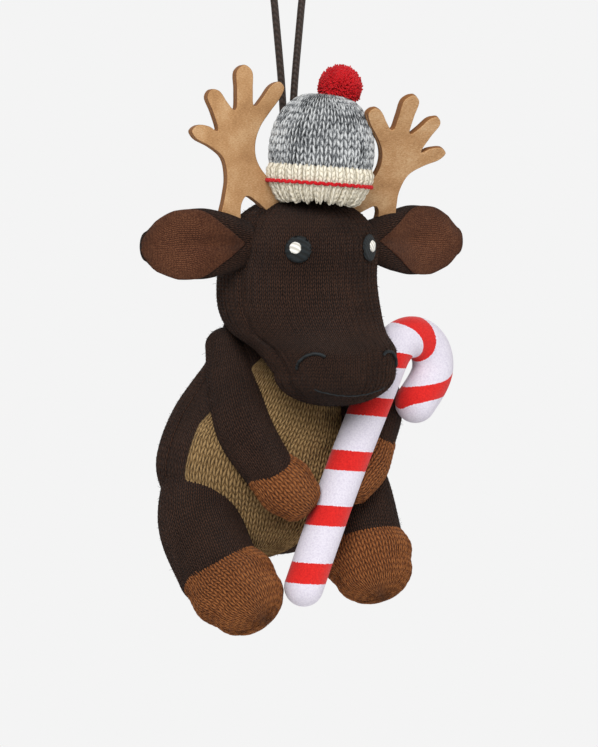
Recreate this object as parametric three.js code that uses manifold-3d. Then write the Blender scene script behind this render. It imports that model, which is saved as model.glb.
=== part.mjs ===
// A stuffed knit moose that hangs on a cord loop and holds a candy cane.
// Millimetres, +Z up. The moose faces -Y and its left side is +X.
// The origin is the point its loop hangs from.
import * as THREE from "three";
import { mergeVertices } from "three/addons/utils/BufferGeometryUtils.js";
import Module from "manifold-3d";

const wasm = await Module();
wasm.setup();

// Fit
const seamGap = 0.3; // between sewn neighbours
const cutOverrun = 20; // how far a cutting solid runs past what it cuts
const cutDepth = cutOverrun * 2;
const sweepSteps = 3; // steps of a neighbour's turn that a moving piece is cut clear of

// Hanging cord: a loop of round cord whose two ends are sewn into the crown
const cordDiameter = 1.9;
const cordDrop = 53; // loop's inner top down to the crown
const cordHoleRadius = 2.35;
const cordSides = 8;
const cordSteps = 62;
// Hand-chosen route, up one strand, round the loop and down the other
const cordRoute = [
  [-1.02, 0, -54.6],
  [-1.02, 0, -51.5],
  [-1.05, 0, -47],
  [-1.1, 0, -42],
  [-1.2, 0, -37],
  [-1.45, 0, -32],
  [-1.85, 0, -26],
  [-2.4, 0, -20],
  [-3.0, 0, -14],
  [-3.6, 0, -8],
  [-3.95, 0, -4],
  [-3.5, 0, -1.1],
  [-2.0, 0, 0.55],
  [0, 0, 1.0],
  [2.0, 0, 0.55],
  [3.5, 0, -1.1],
  [3.95, 0, -4],
  [3.6, 0, -8],
  [3.0, 0, -14],
  [2.4, 0, -20],
  [1.85, 0, -26],
  [1.45, 0, -32],
  [1.2, 0, -37],
  [1.1, 0, -42],
  [1.05, 0, -47],
  [1.02, 0, -51.5],
  [1.02, 0, -54.6],
];
const cordHoleFloor = cordRoute[0][2] - seamGap;

// Head
const headHeight = 56; // the height that its shares are of
const headWidth = 39.5;
const headDepth = 39;
const crownBack = 8; // the crown's centre lies this far in front of the cord

// Torso
const torsoLength = 62;
const torsoWidth = 53;
const torsoDepth = 36;
const neckDrop = 31; // crown down to the top of the torso
const torsoBack = 4; // the torso's centre lies this far behind the cord
const hipLean = 7; // sideways lean of the hips
const panelThickness = 0.9;
const panelWidth = 34;
const panelHeight = 48;

// Arms
const armLength = 33;
const armWidth = 13.8;
const mittLength = 17;
const mittWidth = 14.6;

// Legs
const legLength = 28;
const legWidth = 21;
const footLength = 20;
const footWidth = 22.5;

// Ears
const earLength = 28;
const earHeight = 17.5;
const earThickness = 8;
const liningThickness = 0.8;

// Antlers: cut from thick felt
const antlerHeight = 37;
const antlerThickness = 3;

// Hat
const hatRadius = 13;
const hatCrownHeight = 18;
const hatBandHeight = 7.6;
const hatStripeWidth = 1.3;
const hatStripeThickness = 0.6;
const hatTilt = THREE.MathUtils.degToRad(4.5);
const pompomDiameter = 11;

// Face
const eyeWidth = 6.4;
const eyeHeight = 6.7;
const glintWidth = 2.8;
const threadThickness = 0.6;
const threadWidth = 1.1;
const nostrilRadius = 3.5;
const mouthRadius = 26;

// Candy cane
const caneDiameter = 9.8;
const caneShaft = 63.2;
const hookRadius = 7.2;
const hookEnd = 6.2;
const caneLean = THREE.MathUtils.degToRad(26.3);
const caneYaw = THREE.MathUtils.degToRad(13.5);
const hookTurn = THREE.MathUtils.degToRad(194);

// Joint ranges, in degrees about each joint's axis
const neckRange = [0, 10];
const armRange = [0, 14];
const legRange = [0, 12];
const earRange = [-8, 15];

// Colours and finishes
const darkKnit = new THREE.MeshStandardMaterial({ color: 0x33231c, roughness: 0.95, metalness: 0 });
const hoofKnit = new THREE.MeshStandardMaterial({ color: 0x7a4526, roughness: 0.95, metalness: 0 });
const bellyKnit = new THREE.MeshStandardMaterial({ color: 0x876a44, roughness: 0.95, metalness: 0 });
const earLiningKnit = new THREE.MeshStandardMaterial({ color: 0x6b4331, roughness: 0.95, metalness: 0 });
const antlerFelt = new THREE.MeshStandardMaterial({ color: 0xbf9160, roughness: 0.98, metalness: 0 });
const greyKnit = new THREE.MeshStandardMaterial({ color: 0x8d9092, roughness: 0.95, metalness: 0 });
const creamKnit = new THREE.MeshStandardMaterial({ color: 0xe6dfcd, roughness: 0.95, metalness: 0 });
const redYarn = new THREE.MeshStandardMaterial({ color: 0xc8202a, roughness: 0.95, metalness: 0 });
const blackThread = new THREE.MeshStandardMaterial({ color: 0x14181a, roughness: 0.6, metalness: 0 });
const whiteThread = new THREE.MeshStandardMaterial({ color: 0xf1efea, roughness: 0.6, metalness: 0 });
const canePlush = new THREE.MeshStandardMaterial({ color: 0xf0ecf3, roughness: 0.9, metalness: 0 });
const cordCotton = new THREE.MeshStandardMaterial({ color: 0x2d211b, roughness: 0.8, metalness: 0 });

// Shape tools

const vector = (x, y, z) => new THREE.Vector3(x, y, z);

// A closed geometry as a solid that can be cut and joined.
function solidOf(geometry) {
  const plain = geometry.clone();
  plain.deleteAttribute("normal");
  plain.deleteAttribute("uv");
  const merged = mergeVertices(plain);
  return new wasm.Manifold(
    new wasm.Mesh({
      numProp: 3,
      vertProperties: new Float32Array(merged.attributes.position.array),
      triVerts: new Uint32Array(merged.index.array),
    }),
  );
}

// A solid back as a geometry, its largest body only.
function geometryOf(solid) {
  const bodies = solid.decompose().sort((a, b) => b.volume() - a.volume());
  const mesh = bodies[0].getMesh();
  const geometry = new THREE.BufferGeometry();
  geometry.setAttribute("position", new THREE.BufferAttribute(new Float32Array(mesh.vertProperties), 3));
  geometry.setIndex(new THREE.BufferAttribute(new Uint32Array(mesh.triVerts), 1));
  geometry.computeVertexNormals();
  return geometry;
}

// A stuffed form: oval rings along a spine, with rounded ends.
// Each section is [place, half-width, half-depth]; across is the direction of the half-widths.
// A form with a set axis keeps its rings square to that axis, however its spine runs.
const plainForm = { grow: 0, sides: 20, rings: 9, capRings: 3, bluntShare: 0.8, axis: null };
function softForm(sections, across, options) {
  const { grow, sides, rings, capRings, bluntShare, axis } = { ...plainForm, ...options };
  const spine = new THREE.CatmullRomCurve3(sections.map(([place]) => place));
  const girth = new THREE.CatmullRomCurve3(sections.map(([, wide, deep]) => vector(wide, deep, 0)));
  const stations = [];
  for (let ring = 0; ring <= rings; ring += 1) {
    stations.push({ at: ring / rings, ahead: 0, size: 1 });
  }
  for (let ring = 1; ring < capRings; ring += 1) {
    const turn = (ring / capRings) * (Math.PI / 2);
    stations.unshift({ at: 0, ahead: -Math.sin(turn), size: Math.cos(turn) });
    stations.push({ at: 1, ahead: Math.sin(turn), size: Math.cos(turn) });
  }
  const points = [];
  const ringFrame = ({ at, ahead }) => {
    const along = axis || spine.getTangent(at);
    const wideWay = across.clone().addScaledVector(along, -across.dot(along)).normalize();
    const deepWay = vector(0, 0, 0).crossVectors(along, wideWay);
    const half = girth.getPoint(at);
    const blunt = (Math.min(half.x, half.y) + grow) * bluntShare;
    const centre = spine.getPoint(at).addScaledVector(along, ahead * blunt);
    return { centre, wideWay, deepWay, half };
  };
  for (const station of stations) {
    const { centre, wideWay, deepWay, half } = ringFrame(station);
    for (let side = 0; side < sides; side += 1) {
      const turn = (side / sides) * Math.PI * 2;
      points.push(
        centre
          .clone()
          .addScaledVector(wideWay, Math.cos(turn) * (half.x + grow) * station.size)
          .addScaledVector(deepWay, Math.sin(turn) * (half.y + grow) * station.size),
      );
    }
  }
  const first = points.push(ringFrame({ at: 0, ahead: -1 }).centre) - 1;
  const last = points.push(ringFrame({ at: 1, ahead: 1 }).centre) - 1;
  const faces = [];
  for (let ring = 0; ring < stations.length - 1; ring += 1) {
    for (let side = 0; side < sides; side += 1) {
      const next = (side + 1) % sides;
      const a = ring * sides + side;
      const b = ring * sides + next;
      faces.push(a, b, b + sides, a, b + sides, a + sides);
    }
  }
  const top = (stations.length - 1) * sides;
  for (let side = 0; side < sides; side += 1) {
    const next = (side + 1) % sides;
    faces.push(first, next, side);
    faces.push(last, top + side, top + next);
  }
  const geometry = new THREE.BufferGeometry().setFromPoints(points);
  geometry.setIndex(faces);
  return geometry;
}

// Copies of a form at each step of a turn about a hinge.
function turnedCopies(form, pivot, axis, range) {
  const copies = [];
  for (let step = 0; step <= sweepSteps; step += 1) {
    const degrees = range[0] + ((range[1] - range[0]) * step) / sweepSteps;
    const turn = new THREE.Quaternion().setFromAxisAngle(axis, THREE.MathUtils.degToRad(-degrees));
    const copy = form.clone();
    copy.translate(-pivot.x, -pivot.y, -pivot.z).applyQuaternion(turn).translate(pivot.x, pivot.y, pivot.z);
    copies.push(copy);
  }
  return copies;
}

const joined = (forms) => wasm.Manifold.union(forms.map(solidOf));

// A neighbour's form turned to every position that a hinged piece meets it in.
const sweep = (form, pivot, axis, range) => joined(turnedCopies(form, pivot, axis, range));

const opposite = (range) => range.map((degrees) => -degrees);

// A thin piece that lies on a form: the layer between two grown copies, inside an outline pushed along -Y.
function skinPatch(grownForm, lift, thickness, outline, place) {
  const layer = solidOf(grownForm(lift + thickness)).subtract(solidOf(grownForm(lift)));
  const options = { depth: cutDepth, bevelEnabled: false, curveSegments: 10 };
  const cutter = new THREE.ExtrudeGeometry(outline, options);
  cutter.rotateX(Math.PI / 2);
  cutter.translate(place.x, place.y, place.z);
  return layer.intersect(solidOf(cutter));
}

function named(name, geometry, material) {
  const mesh = new THREE.Mesh(geometry, material);
  mesh.name = name;
  return mesh;
}

// Key places, from the sizes above
const crown = vector(0, 0, -cordDrop);
const headBase = vector(0, -crownBack, crown.z);
const neck = vector(0, torsoBack, crown.z - neckDrop);
const lateral = vector(1, 0, 0);
const upright = vector(0, 0, 1);
const downward = vector(0, 0, -1);
const sides = [
  { name: "right", side: -1 },
  { name: "left", side: 1 },
];

// Head. Shares of its height down, its depth forward, and its half-width and half-depth
const headShares = [
  [0.26, 0, 0.97, 0.98],
  [0.39, -0.06, 1, 1.04],
  [0.53, -0.03, 1.01, 1.09],
  [0.625, 0.07, 0.96, 1.12],
  [0.705, 0.32, 0.88, 0.86],
  [0.8, 0.44, 0.79, 0.6],
];
const headTurnShare = 0.07; // the muzzle's sideways drift to the moose's left, per length forward
const headRounding = { sides: 24, rings: 13, capRings: 4, bluntShare: 0.7, axis: downward };
function headForm(grow = 0) {
  const sections = headShares.map(([down, forward, wide, deep]) => [
    vector(
      forward * headDepth * headTurnShare,
      headBase.y - forward * headDepth,
      headBase.z - down * headHeight,
    ),
    (wide * headWidth) / 2,
    (deep * headDepth) / 2,
  ]);
  return softForm(sections, lateral, { grow, ...headRounding });
}

// Torso: narrow at the neck, full at the hips
const torsoShares = [
  [0.1, 0, 0, 0.58, 0.64],
  [0.3, 0.2, -0.02, 0.8, 0.86],
  [0.48, 0.5, 0, 0.97, 1],
  [0.65, 0.85, 0.02, 1.03, 1.02],
  [0.79, 1, 0.04, 0.91, 0.86],
];
function torsoForm(grow = 0) {
  const sections = torsoShares.map(([down, lean, back, wide, deep]) => [
    vector(neck.x - lean * hipLean, neck.y + back * torsoDepth, neck.z - down * torsoLength),
    (wide * torsoWidth) / 2,
    (deep * torsoDepth) / 2,
  ]);
  return softForm(sections, lateral, { grow, sides: 24, rings: 10, capRings: 3 });
}
const torsoClear = panelThickness + seamGap * 2;
const panelLeanShare = 1.4;
const panelDropShare = 0.54;
const panelAt = vector(neck.x - hipLean * panelLeanShare, torsoBack, neck.z - torsoLength * panelDropShare);

// Arms: each route is shares of the arm's length from its shoulder, outwards, forward and down
const shoulderDropShare = 0.13;
const shoulderOutShare = 0.3;
const armRouteShares = {
  right: [[0, 0.04, 0], [0.04, 0.26, 0.3], [0.05, 0.47, 0.6], [-0.06, 0.69, 0.91]],
  left: [[0, 0.02, 0], [0.16, 0.12, 0.24], [0.18, 0.26, 0.49], [0.08, 0.4, 0.72]],
};
const mittRouteShares = {
  right: [[0, 0, 0], [-0.22, 0.08, 0.22], [-0.42, 0.14, 0.42]],
  left: [[0, 0, 0], [-0.28, 0.2, 0.32], [-0.6, 0.44, 0.62]],
};
const armGirthShares = [0.76, 0.94, 1, 0.9];
const mittGirthShares = [0.86, 1, 0.82];

// A limb's sections along a route of shares that starts at a place.
function limbSections(start, side, route, length, width, girths, flatShare) {
  return route.map(([out, forward, down], index) => [
    vector(start.x + side * out * length, start.y - forward * length, start.z - down * length),
    (girths[index] * width) / 2,
    (girths[index] * width * flatShare) / 2,
  ]);
}
const mittFlatShare = 0.78;
const shoulderOf = (side) =>
  vector(side * torsoWidth * shoulderOutShare, neck.y - seamGap, neck.z - torsoLength * shoulderDropShare);
function endOf(sections) {
  return sections[sections.length - 1][0];
}
function armSections(name, side) {
  return limbSections(shoulderOf(side), side, armRouteShares[name], armLength, armWidth, armGirthShares, 1);
}
function mittSections(name, side) {
  const wrist = endOf(armSections(name, side));
  const route = mittRouteShares[name];
  return limbSections(wrist, side, route, mittLength, mittWidth, mittGirthShares, mittFlatShare);
}

// Legs: the same, from each hip
const hipDropShare = { right: 0.65, left: 0.58 };
const hipOutShare = 0.34;
const legRouteShares = {
  right: [[0, 0, 0], [0.13, 0.24, 0.42], [0.1, 0.57, 0.82]],
  left: [[0, 0, 0], [0.07, 0.2, 0.38], [0.07, 0.46, 0.77]],
};
const footRouteShares = {
  right: [[0, 0, 0], [-0.12, 0.18, 0.18], [-0.22, 0.36, 0.34]],
  left: [[0, 0, 0], [0.02, 0.14, 0.21], [0.04, 0.26, 0.39]],
};
const legGirthShares = [0.92, 1, 0.97];
const footGirthShares = [0.88, 1, 0.86];
const footFlatShare = 0.92;
const hipShift = hipLean / 2;
const hipOf = (name, side) =>
  vector(
    side * torsoWidth * hipOutShare - hipShift,
    neck.y + seamGap,
    neck.z - torsoLength * hipDropShare[name],
  );
function legSections(name, side) {
  return limbSections(hipOf(name, side), side, legRouteShares[name], legLength, legWidth, legGirthShares, 1);
}
function footSections(name, side) {
  const ankle = endOf(legSections(name, side));
  const route = footRouteShares[name];
  return limbSections(ankle, side, route, footLength, footWidth, footGirthShares, footFlatShare);
}

// A cuff plane parts a limb from its mitt or foot: the space on the far side of the joint between the two.
const reach = armLength;
const reachBlock = reach * 2;
function beyond(sections, offset) {
  const [start, next] = [sections[0][0], sections[1][0]];
  const along = next.clone().sub(start).normalize();
  const block = new THREE.BoxGeometry(reachBlock, reachBlock, reachBlock);
  block.translate(0, 0, reach + offset);
  block.applyQuaternion(new THREE.Quaternion().setFromUnitVectors(upright, along));
  block.translate(start.x, start.y, start.z);
  return solidOf(block);
}

// Ears: from the side of the head, a little back
const earDropShare = 0.23;
const earShares = [
  [0, 0, 0, 0.62, 0.8],
  [0.2, 0, 0, 0.86, 1],
  [0.42, -0.05, 0, 1, 1],
  [0.64, -0.1, 0.01, 0.96, 0.9],
  [0.82, -0.13, 0.02, 0.7, 0.7],
  [0.91, -0.14, 0.02, 0.42, 0.5],
];
const earOutShare = 0.43;
const earForwardShare = 0.12;
const earRootOf = (side) =>
  vector(
    side * headWidth * earOutShare,
    headBase.y - headDepth * earForwardShare,
    headBase.z - headHeight * earDropShare,
  );
function earForm(side, grow = 0) {
  const root = earRootOf(side);
  const sections = earShares.map(([out, forward, down, high, thick]) => [
    vector(root.x + side * out * earLength, root.y - forward * earLength, root.z - down * earLength),
    (high * earHeight) / 2,
    (thick * earThickness) / 2,
  ]);
  return softForm(sections, upright, { grow, sides: 16, rings: 8 });
}

// Antler outline, from the foot of its stem: shares of its height outwards and up
const antlerShares = [
  [0.07, -0.1],
  [0.036, 0.11],
  [0.018, 0.24],
  [0.045, 0.37],
  [0.134, 0.443],
  [0.242, 0.5],
  [0.274, 0.557],
  [0.224, 0.6],
  [0.134, 0.589],
  [0.085, 0.56],
  [0.12, 0.679],
  [0.161, 0.784],
  [0.125, 0.836],
  [0.063, 0.825],
  [0.0, 0.744],
  [-0.045, 0.7],
  [-0.054, 0.825],
  [-0.054, 0.955],
  [-0.116, 1.0],
  [-0.179, 0.955],
  [-0.185, 0.825],
  [-0.192, 0.725],
  [-0.242, 0.776],
  [-0.314, 0.865],
  [-0.376, 0.886],
  [-0.416, 0.841],
  [-0.385, 0.768],
  [-0.314, 0.679],
  [-0.242, 0.581],
  [-0.206, 0.484],
  [-0.206, 0.386],
  [-0.242, 0.305],
  [-0.33, 0.208],
  [-0.42, 0.1],
  [-0.34, -0.02],
  [-0.2, 0.075],
  [-0.134, 0.11],
  [-0.1, 0.06],
  [-0.08, -0.1],
];
const antlerOutShare = 0.555;
const antlerDropShares = { right: 0.1, left: 0.14 };
const antlerTurns = { right: 0, left: THREE.MathUtils.degToRad(3) };
const antlerLeans = { right: 0, left: THREE.MathUtils.degToRad(31) }; // forward
function antlerPlate(name, side) {
  const outline = antlerShares.map(([out, up]) => vector(side * out * antlerHeight, up * antlerHeight, 0));
  if (side < 0) outline.reverse();
  const edge = new THREE.CatmullRomCurve3(outline, true).getPoints(outline.length * 2);
  const shape = new THREE.Shape(edge.slice(0, -1).map((point) => new THREE.Vector2(point.x, point.y)));
  const plate = new THREE.ExtrudeGeometry(shape, { depth: antlerThickness, bevelEnabled: false });
  plate.translate(0, 0, -antlerThickness / 2);
  plate.rotateX(Math.PI / 2);
  plate.rotateY(side * antlerTurns[name]);
  plate.rotateX(antlerLeans[name]);
  plate.translate(
    side * headWidth * antlerOutShare,
    earRootOf(side).y + antlerThickness / 2,
    headBase.z - antlerDropShares[name] * headHeight,
  );
  return plate;
}

// Hat: a domed crown over a ribbed band, with a stripe round the band and a pompom on top
const hatBandShares = [
  [0, 0],
  [0.72, 0],
  [0.84, 0.14],
  [0.95, 0.45],
  [1, 0.82],
  [0.97, 1],
  [0, 1],
];
const hatCrownShares = [
  [0, 0],
  [0.97, 0],
  [1, 0.12],
  [0.99, 0.34],
  [0.9, 0.6],
  [0.7, 0.82],
  [0.4, 0.96],
  [0, 1],
];
const hatStripeAtShare = 0.38;
const hatStripeOutShare = 0.95;
const pompomRiseShare = 0.2;
const pompomOut = 3.4; // the pompom's centre is this far to the left of the hat's
const hatOutShare = 0;
const hatForwardShare = 0.25;
const hatDrop = 1.8; // the band's lower rim is this far below the crown
const hatSeat = vector(headWidth * hatOutShare, headBase.y - headDepth * hatForwardShare, crown.z - hatDrop);
function latheOf(shares, radius, height) {
  const profile = shares.map(([out, up]) => new THREE.Vector2(out * radius, up * height));
  const turned = new THREE.LatheGeometry(profile, 24);
  turned.rotateX(Math.PI / 2);
  return turned;
}
function hatPlace(geometry, rise) {
  geometry.translate(0, 0, rise);
  geometry.rotateY(hatTilt);
  geometry.translate(hatSeat.x, hatSeat.y, hatSeat.z);
  return geometry;
}
function hatStripe() {
  const inner = hatRadius * hatStripeOutShare + seamGap;
  const outer = inner + hatStripeThickness;
  const low = hatBandHeight * hatStripeAtShare;
  const high = low + hatStripeWidth;
  const profile = [
    new THREE.Vector2(inner, low),
    new THREE.Vector2(outer, low),
    new THREE.Vector2(outer, high),
    new THREE.Vector2(inner, high),
    new THREE.Vector2(inner, low),
  ];
  const ring = new THREE.LatheGeometry(profile, 24);
  ring.rotateX(Math.PI / 2);
  return hatPlace(ring, 0);
}
function pompomBall() {
  const ball = new THREE.SphereGeometry(pompomDiameter / 2, 18, 12);
  ball.rotateX(Math.PI / 2);
  ball.translate(pompomOut, 0, 0);
  return hatPlace(ball, hatBandHeight + seamGap + hatCrownHeight + pompomDiameter * pompomRiseShare);
}

// Face: stitched patches on the head's surface
const eyeOutShare = 0.51;
const eyeDropShare = 0.252;
const nostrilOutShare = 0.5;
const nostrilDropShare = 0.763;
// Each nostril is an open arc that starts low on its outer side
const nostrilArcs = {
  right: [Math.PI * 0.3, Math.PI * 1.05],
  left: [Math.PI * -0.05, Math.PI * 0.7],
};
const mouthArc = [Math.PI * 1.38, Math.PI * 1.62];
const mouthDropShare = 0.89;
const mouthForwardShare = 0.36;
function ovalOutline(width, height) {
  return new THREE.Shape().absellipse(0, 0, width / 2, height / 2, 0, Math.PI * 2, false, 0);
}
function bandOutline(radius, width, start, end) {
  const band = new THREE.Shape();
  band.absarc(0, 0, radius + width / 2, start, end, false);
  band.absarc(0, 0, radius - width / 2, end, start, true);
  return band;
}
const faceShift = 1.2; // the face looks slightly to the moose's left
function faceAt(out, down) {
  return vector((out * headWidth) / 2 + faceShift, headBase.y, headBase.z - down * headHeight);
}

// Candy cane: a stuffed tube, straight and then hooked, stood in its own upright plane
const caneRootOutShare = -0.12;
const caneRootForward = 23;
const caneRootDrop = 97.8; // below the crown
const caneBowShare = 0.012;
const hookSwellShare = 1.06;
const shaftSteps = 6;
const hookSteps = 7;
function canePoints() {
  const route = [];
  const heading = vector(Math.sin(caneLean), 0, Math.cos(caneLean));
  const rightward = vector(Math.cos(caneLean), 0, -Math.sin(caneLean));
  for (let step = 0; step <= shaftSteps; step += 1) {
    const at = step / shaftSteps;
    const bow = -Math.sin(Math.PI * at) * caneBowShare * caneShaft;
    route.push(heading.clone().multiplyScalar(at * caneShaft).addScaledVector(rightward, bow));
  }
  const centre = heading.clone().multiplyScalar(caneShaft).addScaledVector(rightward, hookRadius);
  for (let step = 1; step <= hookSteps; step += 1) {
    const turn = caneLean + (hookTurn * step) / hookSteps;
    route.push(vector(-Math.cos(turn), 0, Math.sin(turn)).multiplyScalar(hookRadius).add(centre));
  }
  const last = caneLean + hookTurn;
  const straight = vector(Math.sin(last), 0, Math.cos(last)).multiplyScalar(hookEnd);
  route.push(route[route.length - 1].clone().add(straight));
  const root = vector(torsoWidth * caneRootOutShare, -caneRootForward, crown.z - caneRootDrop);
  return route.map((point) => point.applyAxisAngle(upright, caneYaw).add(root));
}
function caneForm(grow = 0) {
  const sections = canePoints().map((place, step) => {
    const half = (caneDiameter / 2) * (step > shaftSteps ? hookSwellShare : 1);
    return [place, half, half];
  });
  const across = vector(-Math.sin(caneYaw), Math.cos(caneYaw), 0);
  return softForm(sections, across, { grow, sides: 14, rings: 34, bluntShare: 1 });
}

// Cord: one round tube along its route
function cordTube() {
  const route = new THREE.CatmullRomCurve3(cordRoute.map(([x, y, z]) => vector(x, y, z)));
  const section = new THREE.Shape();
  for (let side = 0; side < cordSides; side += 1) {
    const turn = (side / cordSides) * Math.PI * 2;
    const [x, y] = [(Math.cos(turn) * cordDiameter) / 2, (Math.sin(turn) * cordDiameter) / 2];
    if (side === 0) section.moveTo(x, y);
    else section.lineTo(x, y);
  }
  return new THREE.ExtrudeGeometry(section, { steps: cordSteps, extrudePath: route, bevelEnabled: false });
}

// Assembly
const moose = new THREE.Group();

function buildHead() {
  const hole = new THREE.CylinderGeometry(cordHoleRadius, cordHoleRadius, cutOverrun, 16);
  hole.rotateX(Math.PI / 2);
  hole.translate(0, 0, cordHoleFloor + cutOverrun / 2);
  return named("head", geometryOf(solidOf(headForm()).subtract(solidOf(hole))), darkKnit);
}

function buildTorso() {
  const swept = sweep(headForm(seamGap), neck, lateral, neckRange);
  return named("torso", geometryOf(solidOf(torsoForm()).subtract(swept)), darkKnit);
}

function buildBellyPanel() {
  const outline = ovalOutline(panelWidth, panelHeight);
  const patch = skinPatch(torsoForm, seamGap, panelThickness, outline, panelAt);
  const swept = sweep(headForm(seamGap), neck, lateral, neckRange);
  return named("belly_panel", geometryOf(patch.subtract(swept)), bellyKnit);
}

// The belly panel with room round it.
const panelRoom = seamGap * 4;
function panelClear() {
  const outline = ovalOutline(panelWidth + panelRoom, panelHeight + panelRoom);
  return skinPatch(torsoForm, 0, torsoClear, outline, panelAt);
}

function limbSolid(sections, grow = 0) {
  return softForm(sections, lateral, { grow, sides: 16, rings: 7 });
}

function buildLimbs({ name, side }) {
  const shoulder = shoulderOf(side);
  const arm = armSections(name, side);
  const mitt = mittSections(name, side);
  const armAxis = vector(0, 0, side);
  const clearArm = sweep(torsoForm(seamGap), shoulder, armAxis, armRange)
    .add(panelClear())
    .add(sweep(headForm(seamGap), neck, lateral, neckRange))
    .add(solidOf(caneForm(seamGap)));
  const armSolid = solidOf(limbSolid(arm)).subtract(beyond(mitt, 0)).subtract(clearArm);
  const mittSolid = solidOf(limbSolid(mitt)).intersect(beyond(mitt, seamGap)).subtract(clearArm);
  moose.add(named("arm_" + name, geometryOf(armSolid), darkKnit));
  moose.add(named("mitt_" + name, geometryOf(mittSolid), hoofKnit));

  const hip = hipOf(name, side);
  const leg = legSections(name, side);
  const foot = footSections(name, side);
  const legAxis = vector(0, -side, 0);
  // The arm and mitt swing too, so the leg is cut clear of each of their positions at each of its own
  const metForms = [limbSolid(arm, seamGap), limbSolid(mitt, seamGap)]
    .flatMap((form) => turnedCopies(form, shoulder, armAxis, opposite(armRange)))
    .flatMap((form) => turnedCopies(form, hip, legAxis, legRange));
  const clearLeg = sweep(torsoForm(seamGap), hip, legAxis, legRange)
    .add(panelClear())
    .add(solidOf(caneForm(seamGap)))
    .add(joined(metForms));
  const legSolid = solidOf(limbSolid(leg)).subtract(beyond(foot, 0)).subtract(clearLeg);
  const footSolid = solidOf(limbSolid(foot)).intersect(beyond(foot, seamGap)).subtract(clearLeg);
  moose.add(named("leg_" + name, geometryOf(legSolid), darkKnit));
  moose.add(named("foot_" + name, geometryOf(footSolid), hoofKnit));
}

const liningWideShare = 0.78;
const liningHighShare = 0.72;
const liningOutShare = 0.55;
function buildEar({ name, side }) {
  const root = earRootOf(side);
  const axis = vector(0, 0, side);
  const shell = solidOf(earForm(side)).subtract(sweep(headForm(seamGap), root, axis, earRange));
  moose.add(named("ear_" + name, geometryOf(shell), darkKnit));
  const leaf = ovalOutline(earLength * liningWideShare, earHeight * liningHighShare);
  const place = vector(root.x + side * earLength * liningOutShare, root.y, root.z);
  const lining = skinPatch((grow) => earForm(side, grow), seamGap, liningThickness, leaf, place);
  moose.add(named("ear_lining_" + name, geometryOf(lining), earLiningKnit));
}

const hatTopClear = seamGap * 4;
const hatClear = hatRadius + hatStripeThickness + hatTopClear;
function buildAntler({ name, side }) {
  const band = latheOf(hatBandShares, hatClear, hatBandHeight + seamGap);
  const dome = latheOf(hatCrownShares, hatClear, hatCrownHeight + hatTopClear);
  const plate = solidOf(antlerPlate(name, side))
    .subtract(solidOf(headForm(seamGap)))
    .subtract(solidOf(hatPlace(band, 0)))
    .subtract(solidOf(hatPlace(dome, hatBandHeight)))
    .subtract(sweep(earForm(side, seamGap), earRootOf(side), vector(0, 0, side), opposite(earRange)));
  moose.add(named("antler_" + name, geometryOf(plate), antlerFelt));
}

function buildHat() {
  const headClear = solidOf(headForm(seamGap));
  const band = solidOf(hatPlace(latheOf(hatBandShares, hatRadius, hatBandHeight), 0)).subtract(headClear);
  moose.add(named("hat_band", geometryOf(band), creamKnit));
  const stripe = solidOf(hatStripe()).subtract(headClear);
  moose.add(named("hat_stripe", geometryOf(stripe), redYarn));
  const dome = hatPlace(latheOf(hatCrownShares, hatRadius, hatCrownHeight), hatBandHeight + seamGap);
  moose.add(named("hat_crown", dome, greyKnit));
  const grownDome = latheOf(hatCrownShares, hatRadius + seamGap, hatCrownHeight + seamGap);
  const domeClear = solidOf(hatPlace(grownDome, hatBandHeight + seamGap));
  moose.add(named("pompom", geometryOf(solidOf(pompomBall()).subtract(domeClear)), redYarn));
}

const glintLift = threadThickness + seamGap * 2;
function buildEyesAndNose({ name, side }) {
  const eyeAt = faceAt(side * eyeOutShare, eyeDropShare);
  const eye = skinPatch(headForm, seamGap, threadThickness, ovalOutline(eyeWidth, eyeHeight), eyeAt);
  moose.add(named("eye_" + name, geometryOf(eye), blackThread));
  const glint = skinPatch(headForm, glintLift, threadThickness, ovalOutline(glintWidth, glintWidth), eyeAt);
  moose.add(named("eye_glint_" + name, geometryOf(glint), whiteThread));
  const arc = bandOutline(nostrilRadius, threadWidth, ...nostrilArcs[name]);
  const nostrilAt = faceAt(side * nostrilOutShare, nostrilDropShare);
  const nostril = skinPatch(headForm, seamGap, threadThickness, arc, nostrilAt);
  moose.add(named("nostril_" + name, geometryOf(nostril), blackThread));
}

function buildMouth() {
  const arc = bandOutline(mouthRadius, threadWidth / 2, ...mouthArc);
  const place = faceAt(0, mouthDropShare).add(vector(0, -headDepth * mouthForwardShare, mouthRadius));
  const seam = skinPatch(headForm, seamGap, threadThickness, arc, place);
  return named("mouth_seam", geometryOf(seam), blackThread);
}

function buildCane() {
  const cane = solidOf(caneForm())
    .subtract(sweep(headForm(seamGap), neck, lateral, neckRange))
    .subtract(solidOf(torsoForm(torsoClear)));
  return named("candy_cane", geometryOf(cane), canePlush);
}

moose.add(named("hang_cord", cordTube(), cordCotton));
moose.add(buildHead());
moose.add(buildTorso());
moose.add(buildBellyPanel());
sides.forEach(buildLimbs);
sides.forEach(buildEar);
sides.forEach(buildAntler);
buildHat();
sides.forEach(buildEyesAndNose);
moose.add(buildCane());
moose.add(buildMouth());

export default moose;
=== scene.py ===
"""A stuffed knit moose ornament: its looks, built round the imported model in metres."""

import logging
import math

from dataclasses import dataclass, field
from enum import Enum
from functools import cached_property
from typing import Callable, Optional, Sequence

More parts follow.
